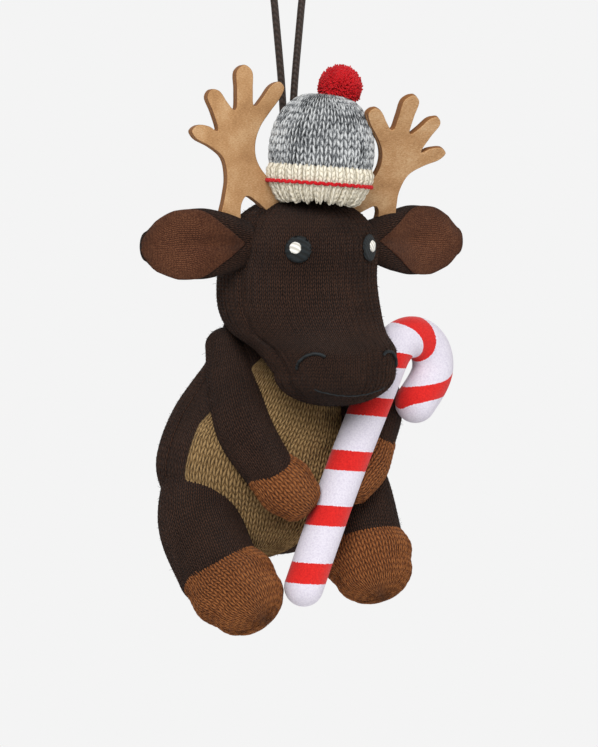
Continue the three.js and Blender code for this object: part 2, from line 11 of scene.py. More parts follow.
import bpy
import numpy as np
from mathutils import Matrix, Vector


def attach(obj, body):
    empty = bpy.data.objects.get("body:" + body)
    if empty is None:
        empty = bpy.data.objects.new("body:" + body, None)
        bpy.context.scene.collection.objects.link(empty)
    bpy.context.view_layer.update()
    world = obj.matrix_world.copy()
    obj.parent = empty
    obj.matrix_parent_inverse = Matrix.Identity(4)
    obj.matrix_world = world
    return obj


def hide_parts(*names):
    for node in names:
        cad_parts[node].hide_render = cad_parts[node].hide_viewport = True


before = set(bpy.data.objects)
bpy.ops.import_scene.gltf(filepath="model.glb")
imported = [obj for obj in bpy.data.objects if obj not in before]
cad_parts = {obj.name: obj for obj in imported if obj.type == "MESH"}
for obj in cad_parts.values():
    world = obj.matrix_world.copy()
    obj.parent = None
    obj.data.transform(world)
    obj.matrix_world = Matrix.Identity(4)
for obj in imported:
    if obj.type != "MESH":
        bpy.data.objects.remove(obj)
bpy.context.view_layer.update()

LOG = logging.getLogger("moose")
MM = 0.001
QUARTER = math.pi / 2
FULL_TURN = 2 * math.pi
TINY = 1e-9
POLE_GAP = 2e-3  # skins stop this share of their form short of its poles
MATHS = "ShaderNodeMath"
VECTORS = "ShaderNodeVectorMath"
NOISE = "ShaderNodeTexNoise"
MIX = "ShaderNodeMix"
RAMP = "ShaderNodeValToRGB"

Sculpt = Callable[[np.ndarray, np.ndarray, np.ndarray], np.ndarray]


class Side(Enum):
    """The moose's own sides, with the sign of X on each."""

    RIGHT = -1
    LEFT = 1

    @property
    def tag(self) -> str:
        """The side's name as it ends a piece's name."""
        return self.name.lower()


def linear(hex_colour: str) -> tuple[float, float, float, float]:
    """Turns an sRGB hex value to linear red, green, blue and alpha.

    Args:
        hex_colour: Six hex digits, with or without a leading mark.

    Returns:
        The linear colour with an alpha of 1.
    """
    digits = hex_colour.lstrip("#")
    channels = [int(digits[at : at + 2], 16) / 255 for at in (0, 2, 4)]
    turned = [c / 12.92 if c <= 0.04045 else ((c + 0.055) / 1.055) ** 2.4 for c in channels]
    return (turned[0], turned[1], turned[2], 1.0)


def unit(vectors: np.ndarray) -> np.ndarray:
    """Scales vectors to a length of 1."""
    return vectors / np.maximum(np.linalg.norm(vectors, axis=-1, keepdims=True), TINY)


def turn_apart(turn: np.ndarray, other: float) -> np.ndarray:
    """The angle between turns and another turn, from 0 to half a turn."""
    return np.abs((turn - other + math.pi) % FULL_TURN - math.pi)


def in_scene(name: str, data: bpy.types.ID) -> bpy.types.Object:
    """Makes an object from its data and links it to the scene."""
    made = bpy.data.objects.new(name, data)
    bpy.context.scene.collection.objects.link(made)
    return made


def add_node(
    tree: bpy.types.NodeTree,
    kind: str,
    links: dict | Sequence = (),
    stops: Sequence[tuple[float, str]] = (),
    **settings: object,
) -> bpy.types.Node:
    """Adds a node with its settings, and links or sets its inputs.

    Args:
        tree: The material's or world's node tree.
        kind: The node's Blender type.
        links: Output sockets or plain values for its inputs, in order or by input name or index.
        stops: A ramp's places from 0 to 1 and their hex colours.
        settings: The node's own attributes.

    Returns:
        The new node.
    """
    node = tree.nodes.new(kind)
    for name, value in settings.items():
        setattr(node, name, value)
    for name, value in (links if isinstance(links, dict) else dict(enumerate(links))).items():
        if isinstance(value, bpy.types.NodeSocket):
            tree.links.new(value, node.inputs[name])
        else:
            node.inputs[name].default_value = value
    if stops:
        elements = node.color_ramp.elements
        while len(elements) < len(stops):
            elements.new(0.5)
        for element, (place, colour) in zip(elements, stops):
            element.position = place
            element.color = linear(colour)
    return node


def new_material(name: str) -> tuple[bpy.types.Material, bpy.types.NodeTree, bpy.types.Node]:
    """Makes an empty material with its shader in place.

    Args:
        name: The material's plain name.

    Returns:
        The material, its tree and its Principled shader.
    """
    material = bpy.data.materials.new(name)
    material.use_nodes = True
    tree = material.node_tree
    tree.nodes.clear()
    shader = add_node(tree, "ShaderNodeBsdfPrincipled", {"Metallic": 0.0})
    add_node(tree, "ShaderNodeOutputMaterial", {"Surface": shader.outputs[0]})
    return material, tree, shader


def cover(
    tree: bpy.types.NodeTree,
    shader: bpy.types.Node,
    colour: bpy.types.NodeSocket,
    height: bpy.types.NodeSocket,
    depth: float,
    strength: float,
) -> None:
    """Gives a shader its colour and its fine relief.

    Args:
        tree: The node tree.
        shader: The Principled shader.
        colour: Its colour.
        height: The relief from 0 to 1.
        depth: The relief's depth in millimetres.
        strength: How strongly it shows.
    """
    tree.links.new(colour, shader.inputs["Base Color"])
    links = {"Height": height, "Distance": depth * MM, "Strength": strength}
    tree.links.new(add_node(tree, "ShaderNodeBump", links).outputs[0], shader.inputs["Normal"])


def set_sockets(shader: bpy.types.Node, roughness: float, gloss: float, sheen: float = 0.0) -> None:
    """Sets a shader's plain values on its own sockets."""
    shader.inputs["Roughness"].default_value = roughness
    shader.inputs["Specular IOR Level"].default_value = gloss
    shader.inputs["Sheen Weight"].default_value = sheen


def stitch_height(tree: bpy.types.NodeTree, slant: float) -> bpy.types.NodeSocket:
    """The relief of stocking stitch from a UV map that counts wales across and courses along.

    Args:
        tree: The node tree.
        slant: How far each leg of a stitch climbs, in courses.

    Returns:
        A height from 0 in the gaps to 1 on the yarn.
    """
    place = add_node(tree, "ShaderNodeUVMap", uv_map="stitches").outputs[0]
    # Hand-fed yarn lies a little off its row, over a few stitches at a time
    wander = {"Vector": place, "Scale": 0.35, "Detail": 2.0}
    drift = add_node(tree, NOISE, wander).outputs["Color"]
    off = add_node(tree, VECTORS, [drift, (0.5, 0.5, 0.5)], operation="SUBTRACT").outputs[0]
    most = (0.55, 0.55, 0.0)
    wobbled = add_node(tree, VECTORS, [off, most, place], operation="MULTIPLY_ADD").outputs[0]
    wale, course = add_node(tree, "ShaderNodeSeparateXYZ", [wobbled]).outputs[:2]
    # Each wale has two legs, a quarter of its width to either side of its middle
    in_wale = add_node(tree, MATHS, [wale], operation="FRACT").outputs[0]
    aside = add_node(tree, MATHS, [in_wale, 0.5], operation="SUBTRACT").outputs[0]
    across = add_node(tree, MATHS, [aside], operation="ABSOLUTE").outputs[0]
    off_leg = add_node(tree, MATHS, [across, 0.25], operation="SUBTRACT").outputs[0]
    off_leg = add_node(tree, MATHS, [off_leg, 4.0], operation="MULTIPLY").outputs[0]
    off_leg = add_node(tree, MATHS, [off_leg, off_leg], operation="MULTIPLY").outputs[0]
    leg = add_node(tree, MATHS, [1.0, off_leg], operation="SUBTRACT").outputs[0]
    leg = add_node(tree, MATHS, [leg, 0.0], operation="MAXIMUM").outputs[0]
    ridge = add_node(tree, MATHS, [leg, 0.5], operation="POWER").outputs[0]
    # The legs climb away from the middle, so each course is a row of Vs
    rise = add_node(tree, MATHS, [across, slant], operation="MULTIPLY").outputs[0]
    row = add_node(tree, MATHS, [course, rise], operation="SUBTRACT").outputs[0]
    climb = add_node(tree, MATHS, [row], operation="FRACT").outputs[0]
    off_loop = add_node(tree, MATHS, [climb, 2.0], operation="MULTIPLY").outputs[0]
    off_loop = add_node(tree, MATHS, [off_loop, 1.0], operation="SUBTRACT").outputs[0]
    off_loop = add_node(tree, MATHS, [off_loop, off_loop], operation="MULTIPLY").outputs[0]
    loop = add_node(tree, MATHS, [1.0, off_loop], operation="SUBTRACT").outputs[0]
    loop = add_node(tree, MATHS, [loop, 0.0], operation="MAXIMUM").outputs[0]
    rung = add_node(tree, MATHS, [loop, 0.5], operation="POWER").outputs[0]
    # Wales stand out more than courses
    rung = add_node(tree, MATHS, [rung, 0.7, 0.3], operation="MULTIPLY_ADD").outputs[0]
    return add_node(tree, MATHS, [ridge, rung], operation="MULTIPLY").outputs[0]


@dataclass(frozen=True)
class KnitFinish:
    """Acrylic knit: matt yarn in stocking stitch, dark with painted shade in its gaps, lighter with a
    painted highlight on its raised yarn, and flecked by its fibres.

    A wale and a course are the width and height of one stitch, in millimetres, as are the sizes
    of grain and cloud. The shares say how far each shows.
    """

    name: str
    gap_shade: str
    yarn: str
    light: str
    wale: float
    course: float
    relief: float
    fleck: float = 0.12
    slant: float = 1.5
    brushed: float = 0.25
    grain: float = 0.5
    cloud: float = 9.0
    cloud_share: float = 0.35
    fibre_share: float = 0.45
    stops: tuple[float, float, float] = (0.08, 0.55, 1.0)
    bump_share: float = 0.9
    roughness: float = 0.95
    gloss: float = 0.08
    sheen: float = 0.03
    sheen_roughness: float = 0.5

    def build(self) -> bpy.types.Material:
        """Builds the material."""
        material, tree, shader = new_material(self.name)
        height = stitch_height(tree, self.slant)
        coords = add_node(tree, "ShaderNodeTexCoord").outputs["Object"]
        # Single fibres are too fine to show, so they are drawn as a grain
        grain = {"Vector": coords, "Scale": 1 / (self.grain * MM), "Detail": 4.0, "Roughness": 0.7}
        fibre = add_node(tree, NOISE, grain).outputs[0]
        cloudy = {"Vector": coords, "Scale": 1 / (self.cloud * MM), "Detail": 2.0}
        cloud = add_node(tree, NOISE, cloudy).outputs[0]
        softened = add_node(tree, MIX, {0: self.brushed, 2: height, 3: fibre}).outputs[0]
        fleck = add_node(tree, MATHS, [fibre, 0.5], operation="SUBTRACT").outputs[0]
        spread = [fleck, self.fleck * 4, softened]
        flecked = add_node(tree, MATHS, spread, operation="MULTIPLY_ADD").outputs[0]
        shade = add_node(tree, MATHS, [cloud, 0.5], operation="SUBTRACT").outputs[0]
        clouded = [shade, self.cloud_share, flecked]
        toned = add_node(tree, MATHS, clouded, operation="MULTIPLY_ADD").outputs[0]
        # The ramp runs from painted shade in the gaps between stitches, through the yarn's own colour, to a
        # painted highlight where the yarn stands highest; fibre flecks and cloud only vary the tone
        stops = list(zip(self.stops, (self.gap_shade, self.yarn, self.light)))
        colour = add_node(tree, RAMP, [toned], stops).outputs["Color"]
        hairy = [fibre, self.fibre_share, height]
        raised = add_node(tree, MATHS, hairy, operation="MULTIPLY_ADD").outputs[0]
        cover(tree, shader, colour, raised, self.relief, self.bump_share)
        set_sockets(shader, self.roughness, self.gloss, self.sheen)
        shader.inputs["Sheen Roughness"].default_value = self.sheen_roughness
        return material


@dataclass(frozen=True)
class FeltFinish:
    """Pressed wool felt: a matt mat of short fibres with no weave, cut clean at its edges."""

    name: str
    dark: str
    mid: str
    light: str
    grain: float = 0.6
    stretch: float = 3.0
    edge_shade: str = ""
    cloud: float = 6.0
    cloud_share: float = 0.35
    stops: tuple[float, float, float] = (0.32, 0.5, 0.68)
    flat_share: float = 0.62
    relief: float = 0.25
    bump_share: float = 0.7
    roughness: float = 0.97
    gloss: float = 0.1
    sheen: float = 0.1

    def build(self) -> bpy.types.Material:
        """Builds the material."""
        material, tree, shader = new_material(self.name)
        places = add_node(tree, "ShaderNodeTexCoord").outputs
        # Felt fibres lie mostly one way, so the grain is drawn finer up than across
        stretch = {0: places["Object"], 3: (1.0, 1.0, self.stretch)}
        drawn = add_node(tree, "ShaderNodeMapping", stretch).outputs[0]
        grain = {"Vector": drawn, "Scale": 1 / (self.grain * MM), "Detail": 6.0, "Roughness": 0.75}
        fibre = add_node(tree, NOISE, grain).outputs[0]
        cloudy = {"Vector": places["Object"], "Scale": 1 / (self.cloud * MM), "Detail": 3.0}
        cloud = add_node(tree, NOISE, cloudy).outputs[0]
        mixed = add_node(tree, MIX, {0: self.cloud_share, 2: fibre, 3: cloud}).outputs[0]
        stops = list(zip(self.stops, (self.dark, self.mid, self.light)))
        colour = add_node(tree, RAMP, [mixed], stops).outputs["Color"]
        if self.edge_shade:
            # Faces that turn sideways or up, the cut edges, are painted a darker shade
            facing = add_node(tree, "ShaderNodeSeparateXYZ", [places["Normal"]]).outputs[1]
            frontal = add_node(tree, MATHS, [facing], operation="ABSOLUTE").outputs[0]
            edge = add_node(tree, MATHS, [frontal, self.flat_share], operation="LESS_THAN").outputs[0]
            both = {0: edge, 6: colour, 7: linear(self.edge_shade)}
            colour = add_node(tree, MIX, both, data_type="RGBA").outputs[2]
        cover(tree, shader, colour, fibre, self.relief, self.bump_share)
        set_sockets(shader, self.roughness, self.gloss, self.sheen)
        return material


@dataclass(frozen=True)
class PlushFinish:
    """Short-pile plush printed with slanting red bands. The UV map counts bands along the tube."""

    name: str
    white: str
    shade: str
    red: str
    red_shade: str
    red_share: float = 0.357
    pile: float = 0.45
    wander: float = 0.06
    stops: tuple[float, float] = (0.25, 0.6)
    relief: float = 0.3
    bump_share: float = 0.5
    roughness: float = 0.9
    gloss: float = 0.15
    sheen: float = 0.15

    def build(self) -> bpy.types.Material:
        """Builds the material."""
        material, tree, shader = new_material(self.name)
        place = add_node(tree, "ShaderNodeUVMap", uv_map="stitches").outputs[0]
        coords = add_node(tree, "ShaderNodeTexCoord").outputs["Object"]
        grain = {"Vector": coords, "Scale": 1 / (self.pile * MM), "Detail": 4.0, "Roughness": 0.7}
        pile = add_node(tree, NOISE, grain).outputs[0]
        count = add_node(tree, "ShaderNodeSeparateXYZ", [place]).outputs[1]
        # The print's edge wanders a little with the pile
        aside = add_node(tree, MATHS, [pile, 0.5], operation="SUBTRACT").outputs[0]
        edge = add_node(tree, MATHS, [aside, self.wander, count], operation="MULTIPLY_ADD").outputs[0]
        in_band = add_node(tree, MATHS, [edge], operation="FRACT").outputs[0]
        band = add_node(tree, MATHS, [in_band, self.red_share], operation="LESS_THAN").outputs[0]
        whites = list(zip(self.stops, (self.shade, self.white)))
        reds = list(zip(self.stops, (self.red_shade, self.red)))
        white = add_node(tree, RAMP, [pile], whites).outputs["Color"]
        red = add_node(tree, RAMP, [pile], reds).outputs["Color"]
        colour = add_node(tree, MIX, {0: band, 6: white, 7: red}, data_type="RGBA").outputs[2]
        cover(tree, shader, colour, pile, self.relief, self.bump_share)
        set_sockets(shader, self.roughness, self.gloss, self.sheen)
        return material


@dataclass(frozen=True)
class ThreadFinish:
    """Twisted thread or cord: fine ridges across its length and a faint shine."""

    name: str
    dark: str
    light: str
    twist: float
    roughness: float = 0.55
    gloss: float = 0.3
    stretch: float = 6.28
    stops: tuple[float, float] = (0.1, 0.9)
    relief: float = 0.12
    bump_share: float = 0.5

    def build(self) -> bpy.types.Material:
        """Builds the material."""
        material, tree, shader = new_material(self.name)
        coords = add_node(tree, "ShaderNodeTexCoord").outputs["Object"]
        pace = 1 / (self.twist * MM) / self.stretch
        ply = {"Vector": coords, "Scale": pace, "Distortion": 2.0, "Detail": 2.0}
        wave = add_node(tree, "ShaderNodeTexWave", ply, bands_direction="DIAGONAL").outputs[1]
        # The colour follows the twist: painted shade darkens the grooves between the plies and a painted
        # highlight lightens their crests
        stops = list(zip(self.stops, (self.dark, self.light)))
        colour = add_node(tree, RAMP, [wave], stops).outputs["Color"]
        cover(tree, shader, colour, wave, self.relief, self.bump_share)
        set_sockets(shader, self.roughness, self.gloss)
        return material


@dataclass
class SoftForm:
    """A stuffed form: oval rings along a spine, with rounded ends. Lengths are millimetres.

    Attributes:
        places: Spine points.
        girths: Half-width and half-depth at each spine point.
        across: The direction of the half-widths.
        blunt: How far an end cap reaches, as a share of its half-size.
        axis: Keeps the rings square to one direction, however the spine runs.
    """

    places: Sequence[Sequence[float]]
    girths: Sequence[Sequence[float]]
    across: Sequence[float] = (1.0, 0.0, 0.0)
    blunt: float = 0.8
    axis: Optional[Sequence[float]] = None
    length: float = field(init=False)
    total: float = field(init=False)
    cap_start: float = field(init=False)
    cap_end: float = field(init=False)

    def __post_init__(self) -> None:
        """Measures the spine and sets how far each end's cap reaches."""
        self._places = np.array(self.places, float)
        self._girths = np.array(self.girths, float)
        fine = np.linspace(0, 1, 200)
        steps = np.linalg.norm(np.diff(self.spline(self._places, fine), axis=0), axis=1)
        self._evenly = (np.concatenate([[0], np.cumsum(steps)]) / steps.sum(), fine)
        self.length = float(steps.sum())
        ends = self._girths[[0, -1]].min(axis=1) * self.blunt
        self.cap_start, self.cap_end = float(ends[0]), float(ends[1])
        self.total = self.length + (self.cap_start + self.cap_end) * QUARTER

    @staticmethod
    def spline(points: np.ndarray, at: np.ndarray) -> np.ndarray:
        """A centripetal curve through points, as the CAD model's spines are.

        Args:
            points: The points it passes through.
            at: Places from 0 to 1, even in the points' own spacing.

        Returns:
            The curve's points.
        """
        last = len(points) - 1
        padded = np.vstack([2 * points[0] - points[1], points, 2 * points[-1] - points[-2]])
        spot = np.clip(np.asarray(at, float), 0, 1) * last
        index = np.minimum(spot.astype(int), last - 1)
        t = (spot - index)[:, None]
        p0, p1, p2, p3 = (padded[index + k] for k in range(4))
        steps = (p1 - p0, p2 - p1, p3 - p2)
        d0, d1, d2 = (np.maximum(np.linalg.norm(step, axis=1, keepdims=True) ** 0.5, 1e-6) for step in steps)
        m1 = ((p1 - p0) / d0 - (p2 - p0) / (d0 + d1) + (p2 - p1) / d1) * d1
        m2 = ((p2 - p1) / d1 - (p3 - p1) / (d1 + d2) + (p3 - p2) / d2) * d1
        c2 = -3 * p1 + 3 * p2 - 2 * m1 - m2
        c3 = 2 * p1 - 2 * p2 + m1 + m2
        return p1 + m1 * t + c2 * t**2 + c3 * t**3

    def surface(self, turn: np.ndarray, along: np.ndarray, grow: float = 0.0) -> np.ndarray:
        """Points on the form.

        Args:
            turn: Angles round the form, where a quarter turn faces forward on an upright form.
            along: Places from 0 at the first pole to 1 at the last.
            grow: How far outside the form, in millimetres.

        Returns:
            Points with the shape of turn and along, in millimetres.
        """
        run = along * self.total
        first = self.cap_start * QUARTER
        last = first + self.length
        at = np.clip((run - first) / self.length, 0, 1)
        start = np.clip((first - run) / max(first, TINY), 0, 1) * QUARTER
        finish = np.clip((run - last) / max(self.cap_end * QUARTER, TINY), 0, 1) * QUARTER
        shape = at.shape
        flat = np.interp(at.ravel(), *self._evenly)
        centre = self.spline(self._places, flat).reshape(*shape, 3)
        nudge = 1e-3
        before, after = (self.spline(self._places, np.clip(flat + by, 0, 1)) for by in (-nudge, nudge))
        tangent = unit(after - before).reshape(*shape, 3)
        if self.axis is not None:
            tangent = np.broadcast_to(np.array(self.axis, float), tangent.shape)
        across = np.array(self.across, float)
        wide_way = unit(across - tangent * (tangent @ across)[..., None])
        deep_way = np.cross(tangent, wide_way)
        halves = np.column_stack([self._girths, np.zeros(len(self._girths))])
        half = self.spline(halves, flat).reshape(*shape, 3)
        blunt = (np.minimum(half[..., 0], half[..., 1]) + grow) * self.blunt
        size = np.cos(start) * np.cos(finish)
        centre = centre + tangent * ((np.sin(finish) - np.sin(start)) * blunt)[..., None]
        wide = (np.cos(turn) * (half[..., 0] + grow) * size)[..., None]
        deep = (np.sin(turn) * (half[..., 1] + grow) * size)[..., None]
        return centre + wide_way * wide + deep_way * deep

    @cached_property
    def front(self) -> tuple[np.ndarray, np.ndarray]:
        """A fine grid of points over the form's front, and the same grid a little further out."""
        turn, along = np.meshgrid(np.linspace(0.02, math.pi - 0.02, 400), np.linspace(0.01, 0.99, 500))
        return self.surface(turn, along), self.surface(turn, along, 0.5)

    @property
    def girth(self) -> float:
        """The distance round the form at its fullest."""
        return float(math.pi * self._girths.sum(axis=1).max())


def stitch_relief(across: np.ndarray, along: np.ndarray, slant: float = 1.5) -> np.ndarray:
    """The same relief as the knit finish, for geometry.

    Args:
        across: Wales counted round the piece.
        along: Courses counted along it.
        slant: How far each leg climbs, in courses.

    Returns:
        Heights from 0 to 1.
    """
    side = np.abs(across % 1 - 0.5)
    leg = np.clip(1 - ((side - 0.25) * 4) ** 2, 0, 1)
    loop = np.clip(1 - (((along - side * slant) % 1) * 2 - 1) ** 2, 0, 1)
    return np.sqrt(leg) * (0.3 + 0.7 * np.sqrt(loop))


def grid_piece(
    name: str,
    points: np.ndarray,
    stitches: np.ndarray,
    material: bpy.types.Material,
    closed: bool = True,
) -> bpy.types.Object:
    """Makes a smooth mesh from a grid of points.

    Args:
        name: The piece's name.
        points: Rings by columns by three, in millimetres. A closed grid has no repeated column.
        stitches: Rings by columns plus one by two, the UV map in wales and courses.
        material: Its finish.
        closed: Whether the columns meet round the piece and the end rings are filled.

    Returns:
        The new object.
    """
    rings, columns = points.shape[:2]
    vertices = points.reshape(-1, 3) * MM
    faces = []
    corners = []
    last = columns if closed else columns - 1
    for ring in range(rings - 1):
        for column in range(last):
            after = (column + 1) % columns
            low, high = ring * columns, (ring + 1) * columns
            faces.append((low + column, low + after, high + after, high + column))
            corners.extend(stitches[ring, column : column + 2])
            corners.extend(stitches[ring + 1, column : column + 2][::-1])
    if closed:
        for ring, step in ((0, -1), (rings - 1, 1)):
            faces.append(tuple(range(ring * columns, (ring + 1) * columns))[::step])
            corners.extend([stitches[ring, 0]] * columns)
    mesh = bpy.data.meshes.new(name)
    mesh.from_pydata([tuple(v) for v in vertices], [], faces)
    layer = mesh.uv_layers.new(name="stitches")
    layer.data.foreach_set("uv", np.array(corners, np.float32).ravel())
    mesh.polygons.foreach_set("use_smooth", [True] * len(mesh.polygons))
    mesh.materials.append(material)
    mesh.update()
    return in_scene(name, mesh)


def knitted(
    name: str,
    form: SoftForm,
    finish: KnitFinish,
    material: bpy.types.Material,
    body: str,
    replaces: Sequence[str],
    spacing: float = 0.45,
    sculpt: Optional[Sculpt] = None,
    raised: float = 0.0,
    grow: float = 0.0,
) -> bpy.types.Object:
    """Knits a skin over a form, in the round.

    Args:
        name: The piece's name.
        form: The stuffed form it covers.
        finish: Its knit, for the size of its stitches.
        material: The built finish.
        body: The CAD body it rides on.
        replaces: The CAD nodes it stands for.
        spacing: The mesh's spacing in millimetres.
        sculpt: Changes the points: it takes points, turns and places along.
        raised: The height of the stitches in the mesh, in millimetres.
        grow: How far the skin stands off the form, in millimetres.

    Returns:
        The new piece.
    """
    wales = max(8, round(form.girth / finish.wale))
    columns = max(48, round(form.girth / spacing))
    rings = max(24, round(form.total / spacing))
    turns = np.linspace(0, FULL_TURN, columns, endpoint=False)
    turn, along = np.meshgrid(turns, np.linspace(POLE_GAP, 1 - POLE_GAP, rings))
    courses = along * form.total / finish.course
    points = form.surface(turn, along, grow)
    if raised:
        # Stitches flatten where the rings draw together at the poles
        fade = np.clip(np.minimum(along, 1 - along) / 0.1, 0, 1)
        relief = stitch_relief(turn / FULL_TURN * wales, courses, finish.slant) * raised * fade
        outward = unit(form.surface(turn, along, grow + 0.5) - points)
        points = points + outward * relief[..., None]
    if sculpt:
        points = sculpt(points, turn, along)
    round_again = np.linspace(0, wales, columns + 1)
    stitches = np.stack(np.broadcast_arrays(round_again[None, :], courses[:, :1]), axis=-1)
    piece = grid_piece(name, points, stitches, material)
    dress(piece, body, replaces)
    return piece


def dress(piece: bpy.types.Object, body: str, replaces: Sequence[str] = ()) -> None:
    """Rides a piece on its body and hides the CAD nodes it stands for.

    Args:
        piece: The finished piece.
        body: The CAD body's name.
        replaces: The CAD nodes it stands for.
    """
    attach(piece, body)
    if replaces:
        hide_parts(*replaces)
    LOG.info("%s, a %s, rides on %s", piece.name, piece.type.lower(), body)


def strands(
    name: str, paths: np.ndarray, radii: Sequence[float], material: bpy.types.Material, sides: int = 3
) -> bpy.types.Object:
    """Makes many thin threads as one mesh.

    Args:
        name: The piece's name.
        paths: Threads by points by three, in millimetres.
        radii: The radius at each point along a thread, in millimetres.
        material: Its finish.
        sides: How many sides a thread's section has.

    Returns:
        The new object.
    """
    count, steps = paths.shape[:2]
    tangent = unit(np.gradient(paths, axis=1))
    helper = np.where(np.abs(tangent[..., 2:]) < 0.9, [0.0, 0.0, 1.0], [1.0, 0.0, 0.0])
    first = unit(np.cross(tangent, helper))
    second = np.cross(tangent, first)
    angles = np.linspace(0, FULL_TURN, sides, endpoint=False)
    around = first[:, :, None] * np.cos(angles)[:, None] + second[:, :, None] * np.sin(angles)[:, None]
    vertices = paths[:, :, None] + around * np.array(radii)[None, :, None, None]
    index = np.arange(count * steps * sides).reshape(count, steps, sides)
    ahead = np.roll(index, -1, axis=2)
    quads = np.stack([index[:, :-1], ahead[:, :-1], ahead[:, 1:], index[:, 1:]], axis=-1).reshape(-1, 4)
    caps = np.vstack([index[:, 0, ::-1], index[:, -1]])
    mesh = bpy.data.meshes.new(name)
    mesh.from_pydata((vertices.reshape(-1, 3) * MM).tolist(), [], quads.tolist() + caps.tolist())
    mesh.polygons.foreach_set("use_smooth", [True] * len(mesh.polygons))
    mesh.materials.append(material)
    return in_scene(name, mesh)


def patch(
    name: str,
    form: SoftForm,
    finish: KnitFinish,
    span: tuple[float, float],
    middle: Callable[[np.ndarray], np.ndarray],
    half: Callable[[np.ndarray], np.ndarray],
    proud: float,
    shaped: Sculpt,
    spacing: float = 0.4,
    raised: float = 0.0,
) -> bpy.types.Object:
    """Sews a knitted patch onto a form: its rim dips under the form's skin, where its seam is.

    Args:
        name: The piece's name.
        form: What it lies on.
        finish: Its knit.
        span: The stretch of the form that it covers.
        middle: Its middle's turn, at places from 0 to 1 down its own length.
        half: Half its width as a turn, at the same places.
        proud: How far its middle stands off the form, in millimetres.
        shaped: The same change of shape as the form's own skin has.
        spacing: The mesh's spacing in millimetres.
        raised: The height of its stitches in the mesh, in millimetres.

    Returns:
        The new piece, not yet dressed.
    """
    length = form.total * (span[1] - span[0])
    rings = max(16, round(length / spacing))
    down = np.linspace(0, 1, rings)
    widest = float(half(down).max()) / math.pi * form.girth
    columns = max(16, round(widest / spacing))
    across, at = np.meshgrid(np.linspace(-1, 1, columns), down)
    turn = middle(at) + half(at) * across
    along = span[0] + (span[1] - span[0]) * at
    from_side = (1 - np.abs(across)) * widest / 2
    from_end = np.minimum(at, 1 - at) * length
    # Rounded off over 2.2 of its height, the rim starts 0.6 of it under the skin
    rounding, sunk = 2.2, 0.6
    rim = np.clip(np.minimum(from_side, from_end) / (proud * rounding), 0, 1)
    height = (np.sqrt(1 - (1 - rim) ** 2) * (1 + sunk) - sunk) * proud
    base = shaped(form.surface(turn, along), turn, along)
    outward = unit(shaped(form.surface(turn, along, 0.5), turn, along) - base)
    # Counted from 50, so that the count stays above zero
    wales = across * widest / 2 / finish.wale + 50
    courses = along * form.total / finish.course
    relief = stitch_relief(wales, courses, finish.slant) * raised * rim
    points = base + outward * (height + relief)[..., None]
    stitches = np.stack([wales, courses], axis=-1)
    return grid_piece(name, points, stitches, finish.build(), closed=False)


@dataclass(frozen=True)
class Spot:
    """A place on a form's skin, with the directions out of the skin, across it and up it."""

    place: np.ndarray
    out: np.ndarray
    right: np.ndarray
    up: np.ndarray

    @classmethod
    def on(cls, form: SoftForm, x: float, z: float) -> "Spot":
        """Finds where the form's front has a given X and Z.

        Args:
            form: The form.
            x: The place's X in millimetres.
            z: The place's Z in millimetres.

        Returns:
            The spot there.
        """
        points, grown = form.front
        off = (points[..., 0] - x) ** 2 + (points[..., 2] - z) ** 2
        best = np.unravel_index(np.argmin(off), off.shape)
        place = points[best]
        out = unit(grown[best] - place)
        right = unit(np.cross([0.0, 0.0, 1.0], out))
        return cls(place, out, right, np.cross(out, right))

    def lay(self, flat: np.ndarray, height: np.ndarray) -> np.ndarray:
        """Lays flat drawing points on the spot, at a height over it."""
        drawn = flat[..., :1] * self.right + flat[..., 1:2] * self.up
        return self.place + drawn + height[..., None] * self.out


# Finishes. The stitches are fine on the dark skin and the linings, and coarse on the other knits
# Each knit's first colour is painted shade for the gaps between its stitches, and its last a painted
# highlight for its raised yarn
DARK_KNIT = KnitFinish(
    "brushed_acrylic_knit_dark", "070403", "231610", "4b3327",
    wale=1.15, course=1.0, relief=0.7, fleck=0.2, slant=1.8, brushed=0.2,
)
HOOF_KNIT = KnitFinish(
    "acrylic_knit_rust", "241107", "704022", "9b6238",
    wale=1.6, course=1.5, relief=0.6, fleck=0.2, slant=1.6, brushed=0.15,
)
BELLY_KNIT = KnitFinish(
    "acrylic_knit_tan", "2e1f0f", "7d623e", "ab8c60",
    wale=1.6, course=1.5, relief=0.6, fleck=0.25, slant=1.6, brushed=0.12,
)
LINING_KNIT = KnitFinish(
    "brushed_fine_knit_brown", "25130b", "563323", "7f543a",
    wale=0.8, course=0.7, relief=0.3, fleck=0.14, slant=1.5, brushed=0.55,
)
GREY_KNIT = KnitFinish(
    "marled_wool_knit_grey", "1f2123", "7c7f82", "d6d8d8",
    wale=2.1, course=2.0, relief=0.7, fleck=0.5, slant=1.6, brushed=0.2, grain=1.0,
)
CREAM_KNIT = KnitFinish(
    "wool_rib_knit_cream", "a89c84", "e2d9c3", "f7f1e2",
    wale=2.0, course=1.3, relief=0.5, fleck=0.1, slant=1.3, brushed=0.25,
)
STRIPE_YARN = FeltFinish("wool_yarn_red", "7d0910", "c4161f", "e2343a", grain=0.5, stretch=1.0)
# The antler felt's sideways cut edges are painted a darker shade
ANTLER_FELT = FeltFinish("pressed_wool_felt_tan", "8c6440", "b88d61", "d8b78f", edge_shade="8a5c34")
CANE_PLUSH = PlushFinish("printed_plush_cane", "dfdae4", "c6bfcf", "d92722", "b6181a")
CORD_FINISH = ThreadFinish("waxed_cotton_cord", "20160f", "33261f", twist=0.35)
BLACK_THREAD = ThreadFinish("embroidery_rayon_black", "070a0b", "161d20", twist=0.35, roughness=0.6)
WHITE_THREAD = ThreadFinish("embroidery_rayon_white", "c9c5bb", "f6f4ee", twist=0.35, roughness=0.5)
POMPOM_YARN = FeltFinish("trimmed_wool_yarn_red", "7d0910", "c4161f", "e2343a", grain=0.5, stretch=1.0)


